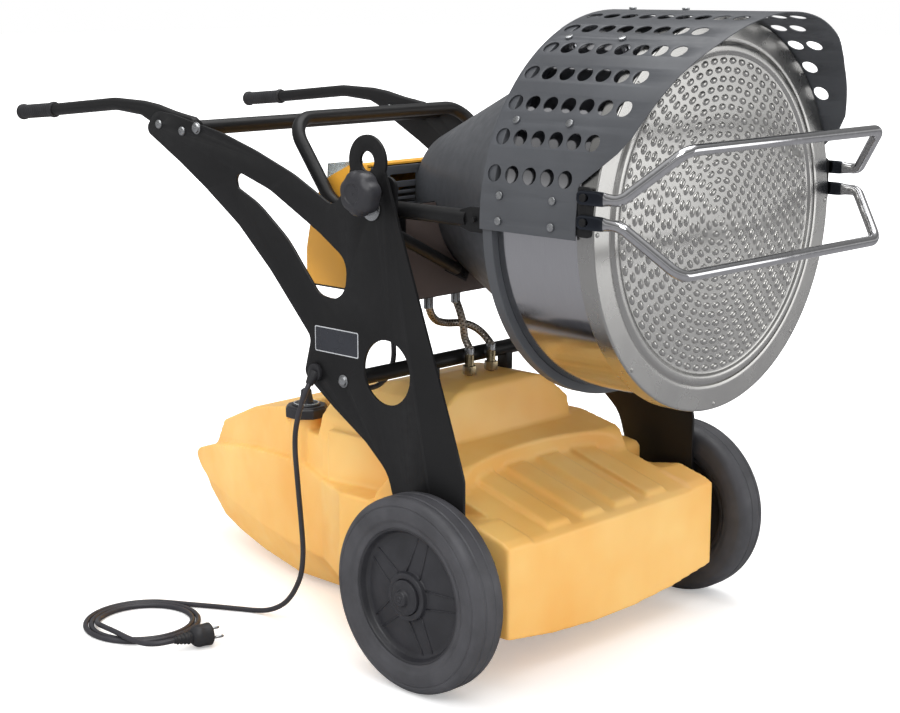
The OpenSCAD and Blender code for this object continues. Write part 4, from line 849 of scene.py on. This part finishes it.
CORD_D = 8.5
COIL_CENTRE = (-446, 520)
COIL_R = 97.2
COIL_STEP = CORD_D + 1
COIL_START = 25
COIL_TURN = 880
COIL_RINGS = 24
CLIMB_TURN = 75
LEAD_Z = 4.4
OVER_Z = LEAD_Z + CORD_D + 1.2
LEAD_POINTS = [
    (-296.7, 266, 424.3), (-303.6, 266, 414.5), (-308, 273, 393), (-311, 280, 368), (-312, 286, 340),
    (-312, 287, 310), (-311, 285, 275), (-310, 282, 235), (-309, 279, 195), (-308, 277, 155),
    (-306, 281, 128), (-301, 292, 102), (-296, 308, 79), (-290, 328, 57), (-284, 353, 36),
    (-280, 380, 20), (-279.5, 405, 9.5), (-284.6, 429, 4.7), (-294, 448, 4.4), (-304.5, 467, 4.4),
    (-317, 490, 4.4), (-331, 514, 4.4), (-344.5, 537, 4.4),
]
TAIL_POINTS = [
    (-522, 490, 14.2), (-524, 466, 14.3), (-525, 442, 14.6), (-524, 420, 15.2), (-520.6, 404.8, 16.4),
    (-511.1, 392.4, 17.6), (-496.7, 385.1, 18.6),
]
PLUG_WAY = Vector((0.97, -0.25, 0)).normalized()
PLUG_ROLL = 30
PIN_OUT = 0.0095


def points(rows):
    return [at(*row) for row in rows]


def coil_point(angle):
    """The coil winds inwards on the floor and climbs over its own first turn at its end."""
    r = COIL_R - COIL_STEP * angle / 360
    t = math.radians(COIL_START + angle)
    climb = max(0.0, (angle - COIL_TURN + CLIMB_TURN) / CLIMB_TURN)
    z = LEAD_Z + (OVER_Z - LEAD_Z) * (1 - math.cos(math.pi * climb)) / 2
    return at(COIL_CENTRE[0] + r * math.cos(t), COIL_CENTRE[1] + r * math.sin(t), z)


def resampled(path, step):
    """Points a constant step apart along a path, on a smooth curve through it."""
    fine = spline(path, 6)
    made, left = [fine[0]], step
    for a, b in zip(fine, fine[1:]):
        span = (b - a).length
        while span >= left > 0:
            a = a.lerp(b, left / span)
            made.append(a)
            span = (b - a).length
            left = step
        left -= span
    return made + [fine[-1]]


def mains_lead():
    turns = [coil_point(360 / COIL_RINGS * i) for i in range(COIL_TURN * COIL_RINGS // 360 + 1)]
    plug_start = at(*TAIL_POINTS[-1]) + PLUG_WAY * 0.009
    path = resampled(points(LEAD_POINTS) + turns + points(TAIL_POINTS) + [plug_start], 0.004)
    lead = swept("mains_lead", path, CORD_D / 2000, (1, 0, 0.02), 20)
    finish_piece(lead, "cord", ["cord", "cord_coil"], "cable")
    plug_piece = plug(plug_start)


def plug(start):
    """A two-pin plug with a ribbed strain relief and a waisted grip."""
    relief = [(0.01, 0, 0), (5.6, 0, 0.5)]
    for i in range(4):
        t, r = 4 + 6 * i, 7.2 + i
        relief += [(r - 1.6, t - 0.4, 0.3), (r, t, 0.4), (r, t + 2.6, 0.4), (r - 1.2, t + 3, 0.3)]
    relief += [(9, 29.4, 0.5), (0.01, 30, 0)]
    body = [
        (0.01, 29, 0), (11, 29, 1), (16, 34, 3), (18.2, 41, 3), (17.4, 49, 4), (18.2, 58, 1), (18.2, 61, 0.8),
        (15.6, 63, 1), (15.2, 61.4, 0.5), (0.01, 61.4, 0),
    ]
    pieces = [turned("relief", relief, Vector(), "z", 64), turned("plug_body", body, Vector(), "z", 96)]
    for side in (-1, 1):
        pin_outline = [(0.01, 60, 0), (2.4, 60, 0), (2.4, 80.4, 1.2), (0.01, 82, 0)]
        pin = turned("pin_sleeve", pin_outline, Vector(), "z", 24)
        turn = math.radians(PLUG_ROLL + 90)
        pin.data.transform(Matrix.Translation(Vector((math.cos(turn), math.sin(turn), 0)) * PIN_OUT * side))
        pieces.append(pin)
    shell = joined("plug_shell", pieces[:2])
    pins = joined("plug_pins", pieces[2:])
    way = Vector((0, 0, 1)).rotation_difference(Vector((1, 0, 0))).to_matrix().to_4x4()
    yaw = Matrix.Rotation(math.atan2(PLUG_WAY.y, PLUG_WAY.x), 4, "Z")
    for piece in (shell, pins):
        piece.data.transform(Matrix.Translation(start) @ yaw @ way)
    pins.data.materials.append(MATERIALS["zinc"])
    finish_piece(shell, "plug", ["plug"], "rubber")
    finish_piece(pins, "plug", slot="zinc")
    pins.parent = shell
    pins.matrix_parent_inverse = Matrix.Identity(4)
    return shell


HOSE_R = 0.0064
CRADLE_FLOOR = 553
HOSE_TOP = CRADLE_FLOOR - 13
PIPE_Y = 179
HOSE_WAYS = {
    "supply": [
        (-26, PIPE_Y, 441.8), (-26, PIPE_Y, 450), (-28, 188, 468), (-33, 187, 492), (-38, 190, 514),
        (-40, 196, 530), (-40, 197, HOSE_TOP),
    ],
    "return": [
        (26, PIPE_Y, 441.8), (26, PIPE_Y, 450), (21, 195, 468), (5, 204, 481), (-18, 209, 488),
        (-48, 209, 492), (-76, 204, 500), (-98, 195, 514), (-109, 190, 530), (-110, 190, HOSE_TOP),
    ],
}
INNER_LEAD = [
    (-273, 266, 438), (-264, 266, 438), (-244, 262, 430), (-222, 256, 412), (-198, 250, 401),
    (-172, 246, 401), (-150, 244, 414), (-138, 243, 438), (-137, 243, 466), (-142, 244, 500),
    (-146, 246, 530), (-147, 247, 552.4),
]


def hexagon_nut(name, centre, across_flats, low, high):
    """A six-sided nut on +Z with its top edge turned down."""
    r = across_flats / math.sqrt(3)
    outline = [(0.01, low), (r, low), (r, high - 1), (r - 0.8, high), (0.01, high)]
    nut = lathe(name, outline, centre, "z", 6)
    nut.data.shade_flat()
    return nut


def across_tilt(piece, slot):
    """A hose or cable running from the cart to the tilting head, given its finish and with its place baked
    into its mesh.
    """
    piece.data.materials.append(MATERIALS[slot])
    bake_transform(piece)


def fuel_hoses():
    """Two braided hoses from the tank's pipes to the burner, with ferrules at both ends and a nut on top."""
    upper, lower = [], []
    for name, rows in HOSE_WAYS.items():
        path = resampled(points(rows), 0.003)
        hose = swept("hose_" + name, path, HOSE_R, (0, 1, 0.02), 28)
        foot, top = path[0], path[-1]
        across_tilt(hose, "braid")
        ferrule = [
            (0.01, -14, 0), (7.2, -14, 0.5), (7.9, -12.5, 0.6), (7.9, 5, 0.6), (7, 5.6, 0.4), (0.01, 5.6, 0),
        ]
        upper.append(turned("ferrule", ferrule, top, "z", 48))
        upper.append(hexagon_nut("nut", top, 19, 5, 12.8))
        foot_outline = [
            (0.01, -1.6, 0), (7.6, -1.6, 0.4), (7.9, 0, 0.4), (7.9, 9, 0.6), (6.6, 10, 0.4), (0.01, 10, 0),
        ]
        lower.append(turned("foot_ferrule", foot_outline, foot, "z", 48))
    finish_piece(joined("hose_feet", lower), "fuel_hoses", ["fuel_hoses"], "zinc")
    finish_piece(joined("hose_fittings", upper), "burner_cradle", slot="zinc")


def inner_cable():
    path = resampled(points(INNER_LEAD), 0.003)
    cable = swept("inner_lead", path, CORD_D / 2000, (0, 1, 0.02), 20)
    across_tilt(cable, SLOT_OF["inner_cable"])
    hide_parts("inner_cable")


# The moulded tank

PIPE_X = 26
# The CAD tank's upright bores, as (x, y, radius, lowest height), the last two in metres.
# The outside closes over them, also where the filler's bore breaks through the CAD tank's side wall.
TANK_BORES = [
    (FILLER_X, FILLER_Y, 0.0201, 0.14), (-PIPE_X, PIPE_Y, 0.0051, 0.3), (PIPE_X, PIPE_Y, 0.0051, 0.3),
]
TANK_VOXEL = 0.0033
TANK_SMOOTHING = 6


def on_bore(face, x, y, radius, low):
    """Whether a face is part of the round wall of an upright bore."""
    for v in face.verts:
        r = math.hypot(v.co.x - x, v.co.y - y)
        if abs(r - radius) > 0.0006 or v.co.z < low:
            return False
    return True


def outer_part(mesh):
    """Keeps the connected part of a mesh that has the largest box, and closes its holes."""
    left = set(mesh.verts)
    best, widest = None, 0
    while left:
        seed = left.pop()
        part, edge = {seed}, [seed]
        while edge:
            v = edge.pop()
            for e in v.link_edges:
                other = e.other_vert(v)
                if other in left:
                    left.discard(other)
                    part.add(other)
                    edge.append(other)
        wide = max(v.co.x for v in part) - min(v.co.x for v in part)
        if wide > widest:
            best, widest = part, wide
    bmesh.ops.delete(mesh, geom=[v for v in mesh.verts if v not in best], context="VERTS")
    bmesh.ops.holes_fill(mesh, edges=mesh.edges, sides=0)


def tank_skin():
    """The outside of the hollow CAD tank, with every edge melted soft as rotational moulding leaves it."""
    shape = bmesh.new()
    shape.from_mesh(NODES["tank"].data)
    bmesh.ops.remove_doubles(shape, verts=shape.verts, dist=0.00002)
    walls = []
    for x, y, radius, low in TANK_BORES:
        centre = at(x, y, 0)
        walls += [f for f in shape.faces if on_bore(f, centre.x, centre.y, radius, low)]
    bmesh.ops.delete(shape, geom=walls, context="FACES")
    outer_part(shape)
    mesh = bpy.data.meshes.new("tank_moulding")
    shape.to_mesh(mesh)
    shape.free()
    piece = bpy.data.objects.new("tank_moulding", mesh)
    bpy.context.scene.collection.objects.link(piece)
    remesh = piece.modifiers.new("even", "REMESH")
    remesh.mode = "VOXEL"
    remesh.voxel_size = TANK_VOXEL
    soften = piece.modifiers.new("soften", "SMOOTH")
    soften.factor = 0.5
    soften.iterations = TANK_SMOOTHING
    apply_modifiers(piece)
    piece.data.shade_smooth()
    finish_piece(piece, "tank", ["tank"])


# The plate's label, left bare

LABEL_X = -283
LABEL_Y = (170, 268)
LABEL_Z = (473, 513)
LABEL_BORDER = 1.6


def panel(name, outline, thickness):
    """A flat sheet on x = 0 with outline in metres as (y, z), standing out to -X by thickness."""
    n = len(outline)
    verts = [(0, y, z) for y, z in outline] + [(-thickness, y, z) for y, z in outline]
    faces = [tuple(range(n)), tuple(range(2 * n - 1, n - 1, -1))]
    faces += [(i, n + i, n + (i + 1) % n, (i + 1) % n) for i in range(n)]
    made = mesh_object(name, verts, faces)
    made.data.shade_flat()
    return made


def round_rectangle(y0, y1, z0, z1, r, steps=6):
    made = []
    corners = ((y1 - r, z1 - r, 0), (y0 + r, z1 - r, 90), (y0 + r, z0 + r, 180), (y1 - r, z0 + r, 270))
    for cy, cz, start in corners:
        for k in range(steps + 1):
            a = math.radians(start + 90 * k / steps)
            made.append(((cy + r * math.cos(a)) / 1000 - AXLE_TO_ROW, (cz + r * math.sin(a)) / 1000))
    return made


def bare_label(name, node, x, y0, y1, z0, z1, edge):
    """A bordered label with nothing printed on it."""
    back = panel(name + "_edge", round_rectangle(y0, y1, z0, z1, 3), 0.0002)
    face = panel(name + "_face", round_rectangle(y0 + edge, y1 - edge, z0 + edge, z1 - edge, 2), 0.0003)
    for piece, material in ((back, LABEL_EDGE), (face, LABEL)):
        piece.data.transform(Matrix.Translation((x / 1000, 0, 0)))
        piece.data.materials.append(material)
        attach(piece, body_of(node))


# Floor, lights and camera

# The floor's own light, which only the camera sees: the first strength up to the first distance in
# metres, the second from the second on, where it clears the floor to white
FLOOR_REACH = (0.9, 2.6)
FLOOR_LIFT = (0.3, 1.0)
FLOOR_IN_MIRRORS = (0.26, 0.26, 0.27)


def stage():
    size = 30.0
    verts = [(-size, -size, 0), (size, -size, 0), (size, size, 0), (-size, size, 0)]
    floor = mesh_object("floor", verts, [(0, 1, 2, 3)])
    floor.location.z = -0.0004
    s = Shader("floor_paint")
    ray = s.node("ShaderNodeLightPath")
    pale = s.ramp(s.noise(2, 3), (0.3, (0.93, 0.93, 0.93)), (0.7, (0.95, 0.95, 0.95)))
    s.colour(s.mix(ray.outputs["Is Glossy Ray"], pale, FLOOR_IN_MIRRORS))
    s.rough(s.noise(20, 3), 0.75, 0.85)
    s.set(Specular_IOR_Level=0.1, Emission_Color=(1, 1, 1, 1))
    away = s.node("ShaderNodeVectorMath", operation="LENGTH")
    s.wire(s.place(), away.inputs[0])
    lift_here = s.node("ShaderNodeMapRange")
    for socket, value in zip(("From Min", "From Max", "To Min", "To Max"), FLOOR_REACH + FLOOR_LIFT):
        lift_here.inputs[socket].default_value = value
    s.wire(away.outputs["Value"], lift_here.inputs["Value"])
    lift = s.node("ShaderNodeMath", operation="MULTIPLY")
    s.wire(lift_here.outputs["Result"], lift.inputs[0])
    s.wire(ray.outputs["Is Camera Ray"], lift.inputs[1])
    s.wire(lift.outputs[0], s.bsdf.inputs["Emission Strength"])
    floor.data.materials.append(s.material)


def soft_light(name, where, towards, size, power, in_mirrors=True):
    data = bpy.data.lights.new(name, "AREA")
    data.shape = "RECTANGLE"
    data.size, data.size_y = size
    data.energy = power
    made = bpy.data.objects.new(name, data)
    made.location = where
    made.rotation_euler = (Vector(towards) - Vector(where)).to_track_quat("-Z", "Y").to_euler()
    made.visible_glossy = in_mirrors
    bpy.context.scene.collection.objects.link(made)


# What shiny surfaces mirror, as (height, level), from the horizon at 0 to straight overhead at 1
MIRRORED_SKY = [(0.0, 0.45), (0.12, 0.62), (0.3, 0.22), (0.55, 0.3), (0.8, 0.75), (1.0, 0.9)]
SKY_LIGHT = 0.85


def world():
    """White to the camera and through clear pieces, MIRRORED_SKY in mirrors, and an even light."""
    made = bpy.data.worlds.new("studio")
    made.use_nodes = True
    bpy.context.scene.world = made
    nodes, links = made.node_tree.nodes, made.node_tree.links
    nodes.clear()
    ray = nodes.new("ShaderNodeLightPath")
    seen = nodes.new("ShaderNodeMath")
    seen.operation = "MAXIMUM"
    links.new(ray.outputs["Is Camera Ray"], seen.inputs[0])
    links.new(ray.outputs["Is Transmission Ray"], seen.inputs[1])
    white = nodes.new("ShaderNodeBackground")
    white.inputs["Color"].default_value = (1, 1, 1, 1)
    white.inputs["Strength"].default_value = 1.0
    light = nodes.new("ShaderNodeBackground")
    light.inputs["Strength"].default_value = SKY_LIGHT
    where = nodes.new("ShaderNodeTexCoord")
    height = nodes.new("ShaderNodeSeparateXYZ")
    links.new(where.outputs["Generated"], height.inputs[0])
    mirrored = nodes.new("ShaderNodeValToRGB")
    set_stops(mirrored, MIRRORED_SKY)
    links.new(height.outputs["Z"], mirrored.inputs["Fac"])
    tone = nodes.new("ShaderNodeMix")
    tone.data_type = "RGBA"
    tone.inputs[6].default_value = (1, 1, 1, 1)
    links.new(mirrored.outputs["Color"], tone.inputs[7])
    links.new(ray.outputs["Is Glossy Ray"], tone.inputs[0])
    links.new(tone.outputs[2], light.inputs["Color"])
    both = nodes.new("ShaderNodeMixShader")
    links.new(seen.outputs[0], both.inputs[0])
    links.new(light.outputs[0], both.inputs[1])
    links.new(white.outputs[0], both.inputs[2])
    out = nodes.new("ShaderNodeOutputWorld")
    links.new(both.outputs[0], out.inputs["Surface"])


# The camera fitted to the photograph
LENS = 71.52
CAMERA_PLACE = (-2.1107, -2.1189, 1.0349)
CAMERA_TURN = (78.2, 0, -46.1)


def camera():
    data = bpy.data.cameras.new("photographer")
    data.sensor_width = 36
    data.lens = LENS
    made = bpy.data.objects.new("photographer", data)
    made.location = CAMERA_PLACE
    made.rotation_euler = tuple(math.radians(a) for a in CAMERA_TURN)
    bpy.context.scene.collection.objects.link(made)
    bpy.context.scene.camera = made
    bpy.context.scene.view_settings.view_transform = "Standard"


BEVELLED = [
    "side_plate_left", "side_plate_right", "rear_cross_tube", "lower_cross_tube", "frame_bolts", "axle",
    "tank_saddles", "filler_neck", "fuel_pipes", "pivot_bolts", "pivot_brackets", "knob_nut", "hood",
    "hood_bolts", "guard_brackets", "strut_tubes", "burner_cradle", "burner_cover", "louvre_panel",
    "socket_cover", "switch_rocker", "reset_button", "cable_gland",
]
AS_BUILT = [
    "lower_shroud", "combustion_chamber", "blast_tube", "fuel_nozzle", "fan_housing", "fan_wheel", "motor",
    "fuel_pump", "ignition_transformer", "control_box",
]


# The filler's tube goes deeper in the CAD; here it ends at this height, inside the tank's boss
NECK_FOOT = 0.245


def keep(node):
    """Leaves a node's shape as it is and gives it its finish."""
    mesh = NODES[node].data
    mesh.materials.clear()
    mesh.materials.append(MATERIALS[SLOT_OF[node]])


for wheel_side, side_name in ((-1, "left"), (1, "right")):
    wheel(wheel_side, side_name)
    push_handle(wheel_side, side_name)
emitter_disc()
drum()
for bar_name in GUARD_BARS:
    guard_handle(bar_name)
tilt_hoop()
tilt_knob()
filler_cap()
cap_gauge()
mains_lead()
fuel_hoses()
inner_cable()
tank_skin()
bare_label("plate_label", "side_plate_left", LABEL_X, *LABEL_Y, *LABEL_Z, LABEL_BORDER)
for cad_name in BEVELLED:
    bevelled(cad_name)
for vertex in bpy.data.objects["filler_neck_skin"].data.vertices:
    vertex.co.z = max(vertex.co.z, NECK_FOOT)
for cad_name in AS_BUILT:
    keep(cad_name)

stage()
world()
soft_light("key", (-2.6, -2.4, 3.4), (0, -0.1, 0.5), (2.4, 2.0), 56)
soft_light("fill", (-3.2, 1.6, 2.2), (0, 0.1, 0.5), (2.2, 2.2), 26, False)
soft_light("front", (2.4, -3.4, 0.9), (0, -0.3, 0.6), (1.8, 1.8), 16)
soft_light("top", (0.4, -0.4, 3.6), (0, 0, 0.5), (3.0, 3.0), 74)
camera()
